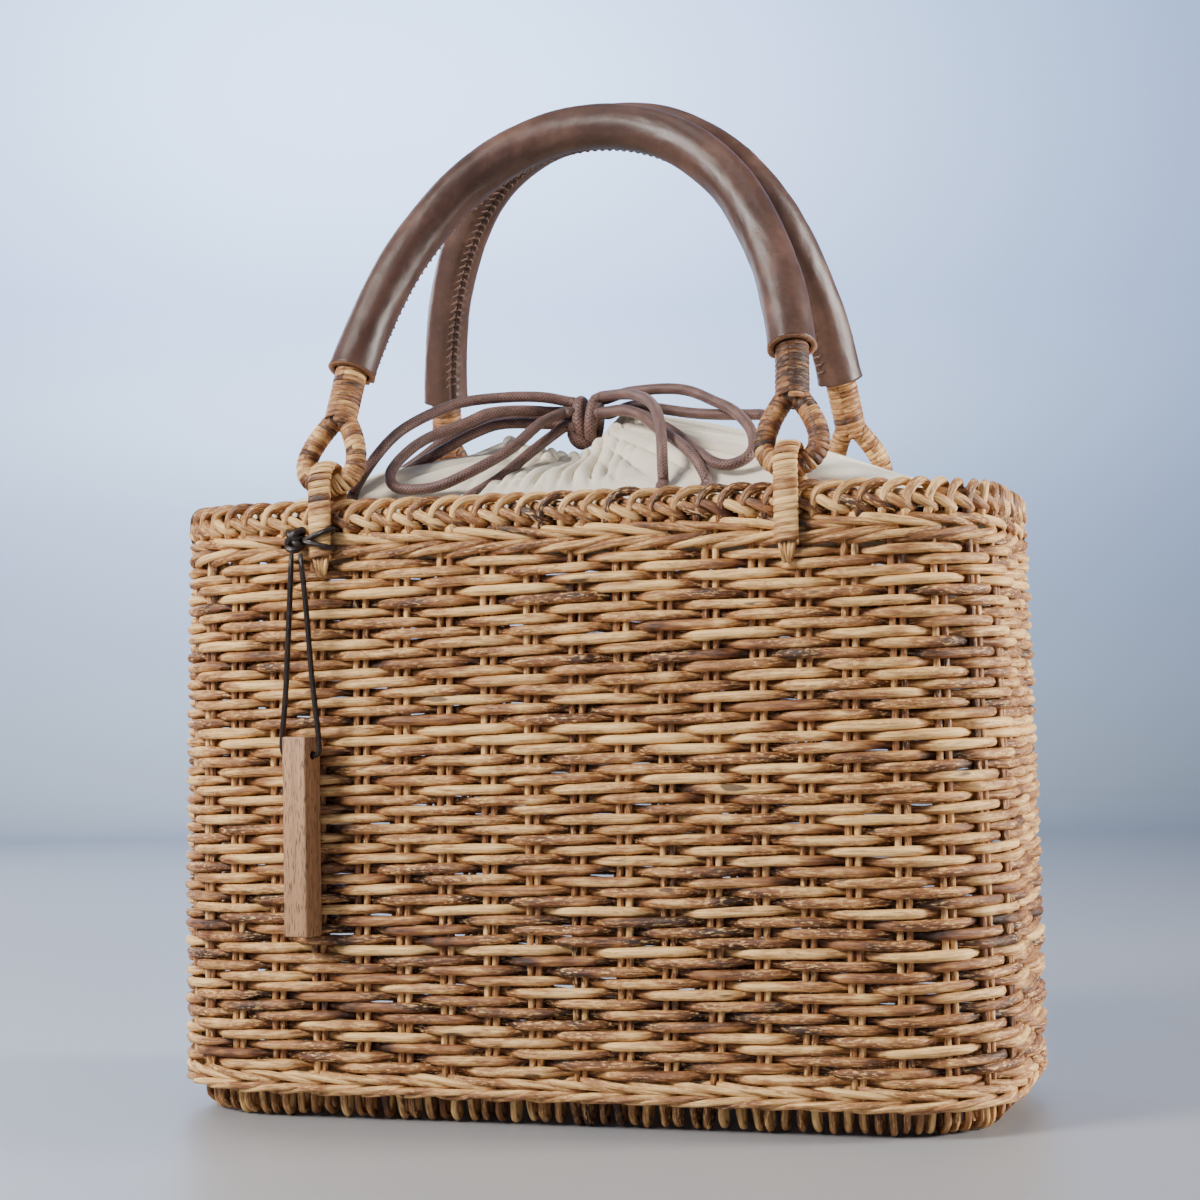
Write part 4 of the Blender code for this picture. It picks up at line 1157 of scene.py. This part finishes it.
def build_grips():
    """Leather sleeves, closed by a cross-stitched seam on the inner side of each arch."""
    leather = leather_finish("grip_leather")
    edge = edge_finish("grip_cut_edge")
    thread = cord_finish("grip_thread", (0.15, 0.075, 0.05), ribs=2600.0)
    stitch = settings().handle.stitch_length
    steps, sides = 340, 64
    for name in ARCHES:
        arch = Arch(name)
        spots = grip_frame(arch, steps)
        length = route_length([spot for spot, outward in spots])
        seam_turn = math.radians(-36 if arch.sign > 0 else -144)

        def surface(share, turn, lift=0.0):
            place = share * steps
            index = min(int(place), steps - 1)
            spot = spots[index][0].lerp(spots[index + 1][0], place - index)
            outward = spots[index][1].lerp(spots[index + 1][1], place - index)
            radius = grip_radius(share * length, turn, seam_turn, min(share, 1 - share)) + lift
            return spot + (arch.normal * math.cos(turn) + outward * math.sin(turn)) * radius

        bm = bmesh.new()
        bmesh.ops.create_grid(bm, x_segments=steps, y_segments=sides, size=0.5)
        for vert in bm.verts:
            vert.co = surface(vert.co.x + 0.5, (vert.co.y + 0.5) * 2 * math.pi)
        bmesh.ops.remove_doubles(bm, verts=bm.verts[:], dist=1e-6)
        bmesh.ops.recalc_face_normals(bm, faces=bm.faces[:])
        mesh = mesh_of(name + "_grip_leather", bm)
        centre = spots[steps // 2][0]
        middle = min(mesh.polygons, key=lambda face: (face.center - centre).length)
        if middle.normal.dot(middle.center - centre) < 0:
            mesh.flip_normals()
        mesh.shade_smooth()
        made = place_object(name + "_grip_leather", mesh)
        mesh.materials.append(leather)
        mesh.materials.append(edge)
        wall = made.modifiers.new("wall", "SOLIDIFY")
        wall.thickness = GRIP_WALL
        wall.offset = -1
        wall.use_even_offset = True
        wall.material_offset_rim = 1
        dress(made, None, name + "_handle", (name + "_grip",))

        strands = []
        count = int(length * 0.965 / stitch)
        for index in range(count):
            share = (length * 0.02 + index * stitch) / length
            for first, second, slip in ((-15, 15, 0.15), (-17, 0, -0.9), (17, 0, -0.9)):
                points = []
                for step in range(5):
                    t = step / 4
                    turn = seam_turn + math.radians(first + (second - first) * t)
                    sunk = step == 0 or (step == 4 and second)
                    lift = 0.0001 + 0.00025 * math.sin(math.pi * t) - (0.0005 if sunk else 0)
                    points.append(surface(share + (t - 0.5) * stitch * slip / length, turn, lift))
                strands.append({"points": points, "tone": 0.5, "shift": index * 0.01,
                                "thick": 1.0 if second else 0.7})
        made = strand_object(name + "_grip_stitches", strands, 0.00036, 6)
        dress(made, thread, name + "_handle")


def swell_at(turn):
    """Lip, power and swell of the cover in one direction, read smoothly from the table."""
    degrees = math.degrees(turn) % 360.0
    count = len(COVER_SWELL)
    span = 360.0 / count
    index = int(degrees // span) % count
    share = ease((degrees - index * span) / span)
    first = COVER_SWELL[index]
    second = COVER_SWELL[(index + 1) % count]
    return [first[k] + (second[k] - first[k]) * share for k in (1, 2, 3)]


def cover_point(share, way):
    """Middle of the cloth: share round the mouth, way 0 at the shoulder and 1 at the lip."""
    inset = -RIM_THICKNESS - STAPLE_THICKNESS - HEM_GAP - SEAT_GAP - CLOTH_THICKNESS / 2
    outer = OUTLINE.place(share * OUTLINE.length, inset, RIM_HEIGHT - SHOULDER_DROP)
    turn = math.atan2(outer.y - MOUTH_CENTRE[1], (outer.x - MOUTH_CENTRE[0]) * 0.45)
    lip_share, power, swell = swell_at(turn)
    mouth_x = MOUTH_CENTRE[0] + MOUTH_HALF[0] * math.cos(turn)
    mouth_y = MOUTH_CENTRE[1] + MOUTH_HALF[1] * math.sin(turn)
    x = outer.x + (mouth_x - outer.x) * way
    y = outer.y + (mouth_y - outer.y) * way
    rise = SHOULDER_DROP + MOUTH_RISE * (1 + lip_share)
    height = outer.z + rise * way ** power + MOUTH_RISE * swell * math.sin(math.pi * way)
    return Vector((x, y, height)), turn


def mouth_ways(count=720):
    """Way round the mouth's oval at even turns, as a share of the whole."""
    ways = [0.0]
    for i in range(count):
        turn = 2 * math.pi * (i + 0.5) / count
        ways.append(ways[-1] + math.hypot(MOUTH_HALF[0] * math.sin(turn), MOUTH_HALF[1] * math.cos(turn)))
    return [way / ways[-1] for way in ways]


MOUTH_WAYS = mouth_ways()


# Width of one puff where the cloth is gathered towards the front
FRONT_PUFF = 0.0052


def puff(phase):
    """Rounded top with a sharp crease on each side, from 0 to 1."""
    return abs(math.cos(phase / 2)) ** 0.6


def fold_height(turn, way, x):
    """Height of the gathers over the cloth, and how deep in a crease the point is, from 0 to 1, which the
    cloth's colour uses as painted shade in the creases.

    The gathers are puffs by the mouth, creases that run out from it and broad swells.
    """
    gathers = settings().cloth.gathers
    place = (turn % (2 * math.pi)) / (2 * math.pi) * (len(MOUTH_WAYS) - 1)
    index = min(int(place), len(MOUTH_WAYS) - 2)
    around = MOUTH_WAYS[index] + (MOUTH_WAYS[index + 1] - MOUTH_WAYS[index]) * (place - index)
    east, north = math.cos(turn), math.sin(turn)
    drift = noise.noise(Vector((east * 1.9, north * 1.9, way * 0.5)))
    uneven = noise.noise(Vector((east * 7.0, north * 7.0, 3.0)))
    phase = 2 * math.pi * gathers * around
    fine = puff(phase + 3.2 * drift + 1.4 * uneven)
    creases = puff(phase * 0.375 + 2.6 * drift + 2.2 * uneven + 1.2)
    broad = noise.noise(Vector((east * 2.6, north * 2.6, way * 1.1 + 4)))
    front = math.exp(-(math.remainder(turn - math.radians(262), 2 * math.pi) / 0.75) ** 2)
    wander = noise.noise(Vector((x * 70, way * 0.9, 11.0))) * 0.0042 + 0.0035 * way * math.copysign(1,
                                                                                                    x + 0.009)
    level = puff(2 * math.pi * (x + wander) / FRONT_PUFF)
    fine += (level - fine) * min(1.0, 1.6 * front) * math.exp(-((x + 0.010) / 0.027) ** 4)
    near = ease((way - 0.45 + 0.42 * front) / 0.30) * (1 + 0.7 * front)
    mid = ease((way - 0.12) / 0.4) * (1 - 0.55 * near) * (0.6 + 0.9 * noise.noise(Vector((east * 3,
                                                                                          north * 3, 8.0))))
    swell = 0.0024 * broad * math.sin(math.pi * way * 0.95)
    depth = min(1.0, near) * max(0.0, 1 - fine * 1.7) + 0.6 * min(1.0, mid) * max(0.0, 1 - creases * 1.9)
    return 0.0031 * near * (fine - 0.6) + 0.0036 * mid * (creases - 0.6) + swell, min(1.0, max(0.0, depth))


def build_cover():
    """Cotton cover: hem inside the rim, a shoulder, and gathered folds up to the mouth."""
    columns, rows = 520, 60
    hem_rows, curl_rows = 8, 10
    curl_radius = 0.0021
    drop = HEM_DROP - SHOULDER_DROP
    bm = bmesh.new()
    bmesh.ops.create_grid(bm, x_segments=columns, y_segments=rows, size=0.5)
    cloth = bm.verts.layers.float_vector.new("cloth")
    # The crease layer holds how deep in a crease each point is, for painted shade in the cloth's colour
    deep = bm.verts.layers.float.new("crease")
    around = OUTLINE.length * 0.93
    for vert in bm.verts:
        share = vert.co.x + 0.5
        row = round((vert.co.y + 0.5) * rows)
        curl = max(0, row - (rows - curl_rows)) / curl_rows
        way = min(1.0, max(0.0, (row - hem_rows) / (rows - curl_rows - hem_rows)))
        spot, turn = cover_point(share, way)
        crease = 0.0
        if row < hem_rows:
            down = 1 - row / hem_rows
            spot.z -= drop * down
            ripple = noise.noise(Vector((math.cos(turn) * 6, math.sin(turn) * 6, down * 2))) * 0.0012
            outward = OUTLINE.at(share * OUTLINE.length)[1]
            spot -= outward * abs(ripple) * math.sin(math.pi * down)
            run = row / hem_rows * drop
        else:
            fold, crease = fold_height(turn, way, spot.x)
            spot += Vector((math.cos(turn) * 0.55, math.sin(turn) * 0.55, 0.85)) * fold
            run = drop + way * 0.062 + curl * 0.012
            if curl:
                bend = min(1.0, curl * 1.5) * math.pi
                inward = Vector((-math.cos(turn), -math.sin(turn), 0))
                spot += inward * curl_radius * (1 - math.cos(bend))
                spot.z += curl_radius * math.sin(bend) - max(0.0, curl - 2 / 3) * 0.018
        vert[cloth] = Vector((share * around, run, 0.0))
        vert[deep] = crease
        vert.co = spot
    bmesh.ops.remove_doubles(bm, verts=bm.verts[:], dist=1e-6)
    bmesh.ops.recalc_face_normals(bm, faces=bm.faces[:])
    top = max(bm.faces, key=lambda face: abs(face.normal.z))
    if top.normal.z < 0:
        bmesh.ops.reverse_faces(bm, faces=bm.faces[:])
    mesh = mesh_of("cotton_cover", bm)
    mesh.shade_smooth()
    made = place_object("cotton_cover", mesh)
    wall = made.modifiers.new("cloth", "SOLIDIFY")
    wall.thickness = CLOTH_THICKNESS * 0.8
    wall.offset = 0
    dress(made, cloth_finish("cotton"), "basket", ("drawstring_cover",))
    return made


def run_into_knot(points):
    """A cord's points with each end that meets the knot carried on into it."""
    def meets(end):
        return min(abs(end.x - KNOT_LOW.x), abs(end.x - KNOT_HIGH.x)) < 0.0006

    made = list(points)
    if meets(made[0]):
        made.insert(0, made[0] + (made[0] - made[1]).normalized() * 0.0026)
    if meets(made[-1]):
        made.append(made[-1] + (made[-1] - made[-2]).normalized() * 0.0026)
    return made


def tuck_under_rim(points):
    """A cord that ends by the front of the rim, carried on down between the cloth and the rim."""
    end = points[-1]
    if end.y > -0.049 or end.z > 0.2205:
        return points
    lean = (end.x - points[-5].x) * 0.4
    return points + [Vector((end.x + lean * 0.3, -0.0545, end.z - 0.0012)),
                     Vector((end.x + lean * 0.7, -0.0565, end.z - 0.0048)),
                     Vector((end.x + lean, -0.0568, end.z - 0.0095))]


def build_drawcord():
    """The drawcord's visible lengths and its knot: two wraps side by side over a lump."""
    finish = cord_finish("waxed_cord", settings().cloth.cord)
    left, right, middle_y = KNOT_LOW.x, KNOT_HIGH.x, (KNOT_LOW.y + KNOT_HIGH.y) / 2
    rng = random.Random(3)
    wraps = []
    radius = CORD_DIAMETER / 2
    half_y = (KNOT_HIGH.y - KNOT_LOW.y) / 2 - radius
    half_z = (KNOT_HIGH.z - KNOT_LOW.z) / 2 - radius
    centre_z = (KNOT_LOW.z + KNOT_HIGH.z) / 2
    for index, x in enumerate((left + radius + 0.0009, right - radius - 0.0005)):
        points = []
        for step in range(24):
            turn = 2 * math.pi * step / 24
            slant = 0.0008 * math.sin(turn) if index else -0.0003 * math.sin(turn)
            points.append(Vector((x + slant, middle_y + half_y * math.cos(turn),
                                  centre_z + half_z * math.sin(turn))))
        wraps.append({"points": points + points[:1], "tone": 0.5, "shift": index * 2.0,
                      "sizes": [1.0] * 25, "thick": 1.2})
    for shift, size in ((-0.0022, 1.5), (0.0018, 1.6)):
        heart = [(left + 0.0004, middle_y + shift, centre_z), (-0.004, middle_y + shift, centre_z + 0.0004),
                 (right - 0.0004, middle_y + shift, centre_z)]
        wraps.append({"points": smooth_route(heart, 3), "tone": 0.4, "shift": 9.0, "thick": size})
    for lump in (((-0.0006, -0.004, -0.0015), (-0.0020, -0.0045, -0.0052), (0.0012, -0.0036, -0.0080),
                  (0.0036, -0.0010, -0.0074)),
                 ((-0.0024, -0.0015, -0.0030), (-0.0026, -0.0005, -0.0062), (-0.0002, 0.0015, -0.0084),
                  (0.0030, 0.0030, -0.0060))):
        points = [Vector((left + 0.0024, middle_y, centre_z)) + Vector(point) for point in lump]
        wraps.append({"points": smooth_route(points, 5), "tone": 0.5, "shift": 11.0, "thick": 1.0})
    knot = strand_object("drawcord_knot_wraps", wraps, radius, 12)
    dress(knot, finish, "basket", ("drawcord_knot",))
    for name, route in CORD_ROUTES.items():
        points = tuck_under_rim(run_into_knot(smooth_route(route, 6)))
        made = strand_object(name + "_cord", [{"points": points, "shift": rng.uniform(0, 9)}], radius, 12)
        dress(made, finish, "basket", (name,))


def tag_bar():
    """Square wooden bar with eased edges and a hole for the thong, turned as it hangs."""
    turn = math.radians(TAG_TURN)
    centre = (TAG_LOW + TAG_HIGH) / 2
    height = TAG_HIGH.z - TAG_LOW.z
    bm = bmesh.new()
    bmesh.ops.create_cube(bm, size=1.0)
    bmesh.ops.scale(bm, vec=(TAG_SIDE, TAG_SIDE, height), verts=bm.verts[:])
    bmesh.ops.bevel(bm, geom=bm.edges[:], offset=0.0007, segments=3, profile=0.5, affect="EDGES", material=-1)
    mesh = mesh_of("tag_bar", bm)
    bar = place_object("tag_bar", mesh)
    bm = bmesh.new()
    bmesh.ops.create_cone(bm, cap_ends=True, segments=32, radius1=TAG_HOLE_RADIUS, radius2=TAG_HOLE_RADIUS,
                          depth=TAG_SIDE * 2)
    rotation = Vector((0, 0, 1)).rotation_difference(Vector((1, 0, 0))).to_matrix()
    bmesh.ops.rotate(bm, matrix=rotation, verts=bm.verts[:])
    bmesh.ops.translate(bm, vec=(0, 0, height / 2 - TAG_HOLE_DROP), verts=bm.verts[:])
    hole_mesh = mesh_of("tag_hole", bm)
    hole = place_object("tag_hole", hole_mesh)
    cut = bar.modifiers.new("hole", "BOOLEAN")
    cut.operation = "DIFFERENCE"
    cut.solver = "EXACT"
    cut.object = hole
    bpy.context.view_layer.update()
    graph = bpy.context.evaluated_depsgraph_get()
    mesh = bpy.data.meshes.new_from_object(bar.evaluated_get(graph))
    bpy.data.objects.remove(bar)
    bpy.data.objects.remove(hole)
    bm = bmesh.new()
    bm.from_mesh(mesh)
    spin = Vector((1, 0, 0)).rotation_difference(Vector((math.cos(turn), math.sin(turn), 0))).to_matrix()
    bmesh.ops.rotate(bm, matrix=spin, verts=bm.verts[:])
    bmesh.ops.translate(bm, vec=centre, verts=bm.verts[:])
    bm.to_mesh(mesh)
    bm.free()
    mesh.shade_smooth()
    mesh.set_sharp_from_angle(angle=math.radians(35))
    return place_object("tag_bar", mesh)


def build_tag():
    """Wooden bar on a doubled thong, knotted round the foot of the front left staple."""
    dress(tag_bar(), wood_finish("tag_wood"), "basket", ("wooden_tag",))

    finish = cord_finish("thong_leather", settings().cloth.thong, ribs=300.0, gloss=0.32,
                         worn=0.001, sheen=0.0)
    knot_centre = (THONG_KNOT_LOW + THONG_KNOT_HIGH) / 2
    staple_y = -(RIM_HALF_DEPTH + wall_offset(RIM_HEIGHT - STAPLE_DROP) + SEAT_GAP + STAPLE_THICKNESS / 2)
    strands = []
    radius = THONG_DIAMETER / 2
    for index, (drop, slant) in enumerate(((-0.0010, 0.0022), (0.0020, -0.0016))):
        points = []
        for step in range(20):
            angle = 2 * math.pi * step / 20
            points.append(Vector((-STAPLE_X - 0.0008 + (STAPLE_HALF_WIDTH + 0.0016) * math.cos(angle),
                                  staple_y + (STAPLE_THICKNESS / 2 + 0.0009) * math.sin(angle),
                                  knot_centre.z - drop + slant * math.cos(angle))))
        strands.append({"points": points + points[:1], "sizes": [1.0] * 21, "tone": 0.5, "shift": index})
    loops = ([(-0.0026, 0.0012, -0.0028), (-0.0024, -0.0020, -0.0012), (0.0002, -0.0026, 0.0016),
              (0.0026, -0.0008, 0.0030), (0.0012, 0.0016, 0.0014), (-0.0016, 0.0008, -0.0006),
              (-0.0024, -0.0018, -0.0030), (0.0006, -0.0024, -0.0040), (0.0026, 0.0000, -0.0022)],
             [(0.0022, 0.0010, 0.0008), (0.0010, -0.0022, 0.0000), (-0.0016, -0.0024, 0.0014),
              (-0.0028, 0.0002, 0.0026), (-0.0008, 0.0020, 0.0010), (0.0016, 0.0006, -0.0016),
              (0.0018, -0.0020, -0.0022), (-0.0006, -0.0018, -0.0008)])
    for loop in loops:
        strands.append({"points": smooth_route([knot_centre + Vector(p) for p in loop], 5), "tone": 0.5,
                        "shift": 4.0,
                        "thick": 1.3})
    knot = strand_object("thong_knot_wraps", strands, radius, 8)
    dress(knot, finish, "basket", ("thong_knot",))
    points = smooth_route(THONG_ROUTE, 4)
    thong = strand_object("thong", [{"points": points, "shift": 0.0}], radius, 8)
    dress(thong, finish, "basket", ("tag_thong",))


def build_camera():
    stage = settings().stage
    place = Vector((math.sin(stage.azimuth) * stage.distance, -math.cos(stage.azimuth) * stage.distance,
                    stage.height))
    ahead = Vector((-math.sin(stage.azimuth), math.cos(stage.azimuth), 0))
    c, s = math.cos(stage.swing), math.sin(stage.swing)
    ahead = Vector((ahead.x * c - ahead.y * s, ahead.x * s + ahead.y * c, 0))
    right = ahead.cross(Vector((0, 0, 1)))
    ahead = ahead * math.cos(stage.pitch) + Vector((0, 0, 1)) * math.sin(stage.pitch)
    up = right.cross(ahead)
    c, s = math.cos(stage.roll), math.sin(stage.roll)
    right, up = right * c + up * s, up * c - right * s
    data = bpy.data.cameras.new("photo_camera")
    data.lens = stage.lens
    data.sensor_width = 36.0
    data.sensor_fit = "HORIZONTAL"
    data.clip_start = 0.01
    data.clip_end = 50.0
    camera = place_object("photo_camera", data)
    matrix = camera.matrix_world.copy()
    for row in range(3):
        matrix[row][0] = right[row]
        matrix[row][1] = up[row]
        matrix[row][2] = -ahead[row]
        matrix[row][3] = place[row]
    camera.matrix_world = matrix
    bpy.context.scene.camera = camera


def add_light(name, place, aim, size, power, colour):
    data = bpy.data.lights.new(name, "AREA")
    data.shape = "RECTANGLE"
    data.size, data.size_y = size
    data.energy = power
    data.color = colour
    light = place_object(name, data)
    light.visible_camera = False
    light.location = place
    light.rotation_euler = (Vector(aim) - Vector(place)).to_track_quat("-Z", "Y").to_euler()


def build_stage():
    """Pale floor that curves up into a wall all round, soft lights and the camera."""
    floor_radius, bend, top = 2.4, 0.8, 2.8
    bm = bmesh.new()
    profile = [Vector((0, 0, 0)), Vector((0.6, 0, 0)), Vector((1.5, 0, 0)), Vector((floor_radius, 0, 0))]
    for step in range(1, 13):
        turn = math.radians(90 * step / 12)
        profile.append(Vector((floor_radius + bend * math.sin(turn), 0, bend * (1 - math.cos(turn)))))
    profile.append(Vector((floor_radius + bend, 0, top)))
    verts = [bm.verts.new(point) for point in profile]
    edges = [bm.edges.new(pair) for pair in zip(verts, verts[1:])]
    bmesh.ops.spin(bm, geom=verts + edges, cent=(0, 0, 0), axis=(0, 0, 1), angle=2 * math.pi, steps=96,
                   use_merge=True)
    bmesh.ops.remove_doubles(bm, verts=bm.verts[:], dist=1e-5)
    for face in bm.faces:
        inward = Vector((0, 0, 1.4)) - face.calc_center_median()
        if face.normal.dot(inward) < 0:
            face.normal_flip()
    mesh = mesh_of("floor", bm)
    mesh.shade_smooth()
    floor = place_object("floor", mesh)
    made, tree, shader = start_finish("floor_paint")
    place = add(tree, "TexCoord").outputs["Object"]
    height = add(tree, "SeparateXYZ", {0: place}).outputs[2]
    cloud = grain(tree, place, (1.5, 1.5, 1.5), 2.0, 0.5)
    # Painted light on the backdrop: the paint goes from grey on the floor to a brighter blue up the wall, and
    # is darkened towards the right where the light falls off
    rise = maths(tree, "MULTIPLY_ADD", cloud, 0.06, spread(tree, height, -0.05, 0.9))
    paint = ramp(tree, rise,
                 ((0.03, (0.38, 0.36, 0.34)), (0.25, (0.41, 0.45, 0.51)), (0.9, (0.43, 0.57, 0.84))))
    way_right = add(tree, "VectorMath", {0: place, 1: (0.96, 0.28, 0.0)},
                    operation="DOT_PRODUCT").outputs["Value"]
    paint = blend_colour(tree, spread(tree, way_right, -0.6, 1.5), paint, (0.40, 0.42, 0.46, 1.0), "MULTIPLY")
    tree.links.new(paint, shader.inputs["Base Color"])
    shader.inputs["Roughness"].default_value = 0.4
    mesh.materials.append(made)
    build_camera()
    add_light("key", (-1.05, -1.2, 1.15), (0, 0, 0.13), (0.6, 0.6), 58.0, (1.0, 0.97, 0.92))
    add_light("side", (1.45, 0.25, 0.5), (0, 0, 0.12), (0.4, 0.5), 46.0, (1.0, 0.97, 0.92))
    add_light("back_left", (-1.2, 0.9, 0.7), (0, 0, 0.15), (0.5, 0.8), 7.0, (0.95, 0.97, 1.0))
    add_light("top", (0.1, -0.1, 1.9), (0, 0, 0.1), (0.9, 0.9), 5.0, (0.96, 0.98, 1.0))
    add_light("wall_left", (-0.7, 1.7, 1.5), (-1.0, 3.1, 1.35), (0.5, 0.5), 72.0, (0.74, 0.86, 1.0))
    world = bpy.data.worlds.new("studio")
    bpy.context.scene.world = world
    world.use_nodes = True
    tree = world.node_tree
    place = add(tree, "TexCoord").outputs["Generated"]
    height = add(tree, "SeparateXYZ", {0: place}).outputs[2]
    sky = ramp(tree, spread(tree, height, -0.1, 0.5), ((0.0, (0.50, 0.54, 0.60)), (1.0, (0.56, 0.62, 0.74))))
    tree.links.new(sky, tree.nodes["Background"].inputs[0])
    tree.nodes["Background"].inputs[1].default_value = 0.4


class Builder:
    """What the operators share: each runs its own builders in turn."""
    builders = ()

    def execute(self, context):
        for build in self.builders:
            build()
        return {"FINISHED"}


class BASKETBAG_OT_stage(Builder, bpy.types.Operator):
    """Set up the floor, the lights and the camera"""
    bl_idname = "basketbag.stage"
    bl_label = "Stage"
    builders = (build_stage,)


class BASKETBAG_OT_drawcord(Builder, bpy.types.Operator):
    """Lay the drawcord and tie its knot"""
    bl_idname = "basketbag.drawcord"
    bl_label = "Drawcord"
    builders = (build_drawcord,)


class BASKETBAG_OT_tag(Builder, bpy.types.Operator):
    """Hang the wooden tag on its thong"""
    bl_idname = "basketbag.tag"
    bl_label = "Tag and thong"
    builders = (build_tag,)


class BASKETBAG_OT_wall(bpy.types.Operator):
    """Weave the wall and its stakes"""
    bl_idname = "basketbag.wall"
    bl_label = "Woven wall"

    def execute(self, context):
        if settings().weave.stake_pairs % 3:
            raise RuntimeError("the weave needs a multiple of three pairs of stakes")
        build_weavers()
        build_stakes()
        return {"FINISHED"}


class BASKETBAG_OT_wales(Builder, bpy.types.Operator):
    """Twist the wales over and under the wall"""
    bl_idname = "basketbag.wales"
    bl_label = "Wales"
    builders = (build_wales,)


class BASKETBAG_OT_rim(Builder, bpy.types.Operator):
    """Braid the rim's border"""
    bl_idname = "basketbag.rim"
    bl_label = "Rim border"
    builders = (build_rim,)


class BASKETBAG_OT_foot(Builder, bpy.types.Operator):
    """Curl the foot's border and weave the base"""
    bl_idname = "basketbag.foot"
    bl_label = "Foot and base"
    builders = (build_foot, build_base)


class BASKETBAG_OT_staples(Builder, bpy.types.Operator):
    """Wind the staples that carry the handles"""
    bl_idname = "basketbag.staples"
    bl_label = "Staples"
    builders = (build_staples,)


class BASKETBAG_OT_handles(Builder, bpy.types.Operator):
    """Wind the stems and loops of both handles"""
    bl_idname = "basketbag.handles"
    bl_label = "Handles"
    builders = (build_handles,)


class BASKETBAG_OT_grips(Builder, bpy.types.Operator):
    """Sew the leather grips"""
    bl_idname = "basketbag.grips"
    bl_label = "Leather grips"
    builders = (build_grips,)


class BASKETBAG_OT_cover(Builder, bpy.types.Operator):
    """Gather the cotton cover"""
    bl_idname = "basketbag.cover"
    bl_label = "Cotton cover"
    builders = (build_cover,)


PIECES = (
    BASKETBAG_OT_stage,
    BASKETBAG_OT_drawcord,
    BASKETBAG_OT_tag,
    BASKETBAG_OT_wall,
    BASKETBAG_OT_wales,
    BASKETBAG_OT_rim,
    BASKETBAG_OT_foot,
    BASKETBAG_OT_staples,
    BASKETBAG_OT_handles,
    BASKETBAG_OT_grips,
    BASKETBAG_OT_cover,
)


class BASKETBAG_PT_pieces(bpy.types.Panel):
    """Sizes, colours and pieces of the bag"""
    bl_idname = "BASKETBAG_PT_pieces"
    bl_label = "Basket bag"
    bl_space_type = "VIEW_3D"
    bl_region_type = "UI"
    bl_category = "Basket bag"

    def draw(self, context):
        chosen = context.scene.basket_bag
        for group in (chosen.weave, chosen.handle, chosen.cloth, chosen.stage):
            box = self.layout.box()
            for key in group.bl_rna.properties.keys():
                if key not in ("rna_type", "name"):
                    box.prop(group, key)
        for piece in PIECES:
            self.layout.operator(piece.bl_idname)


CLASSES = (WeaveSettings, HandleSettings, ClothSettings, StageSettings, BasketBagSettings, *PIECES,
           BASKETBAG_PT_pieces)


def register():
    for item in CLASSES:
        bpy.utils.register_class(item)
    bpy.types.Scene.basket_bag = PointerProperty(type=BasketBagSettings)


def unregister():
    del bpy.types.Scene.basket_bag
    for item in reversed(CLASSES):
        bpy.utils.unregister_class(item)


def main():
    register()
    bpy.ops.basketbag.stage()
    bpy.ops.basketbag.drawcord()
    bpy.ops.basketbag.tag()
    bpy.ops.basketbag.wall()
    bpy.ops.basketbag.wales()
    bpy.ops.basketbag.rim()
    bpy.ops.basketbag.foot()
    bpy.ops.basketbag.staples()
    bpy.ops.basketbag.handles()
    bpy.ops.basketbag.grips()
    bpy.ops.basketbag.cover()


if __name__ == "__main__":
    main()
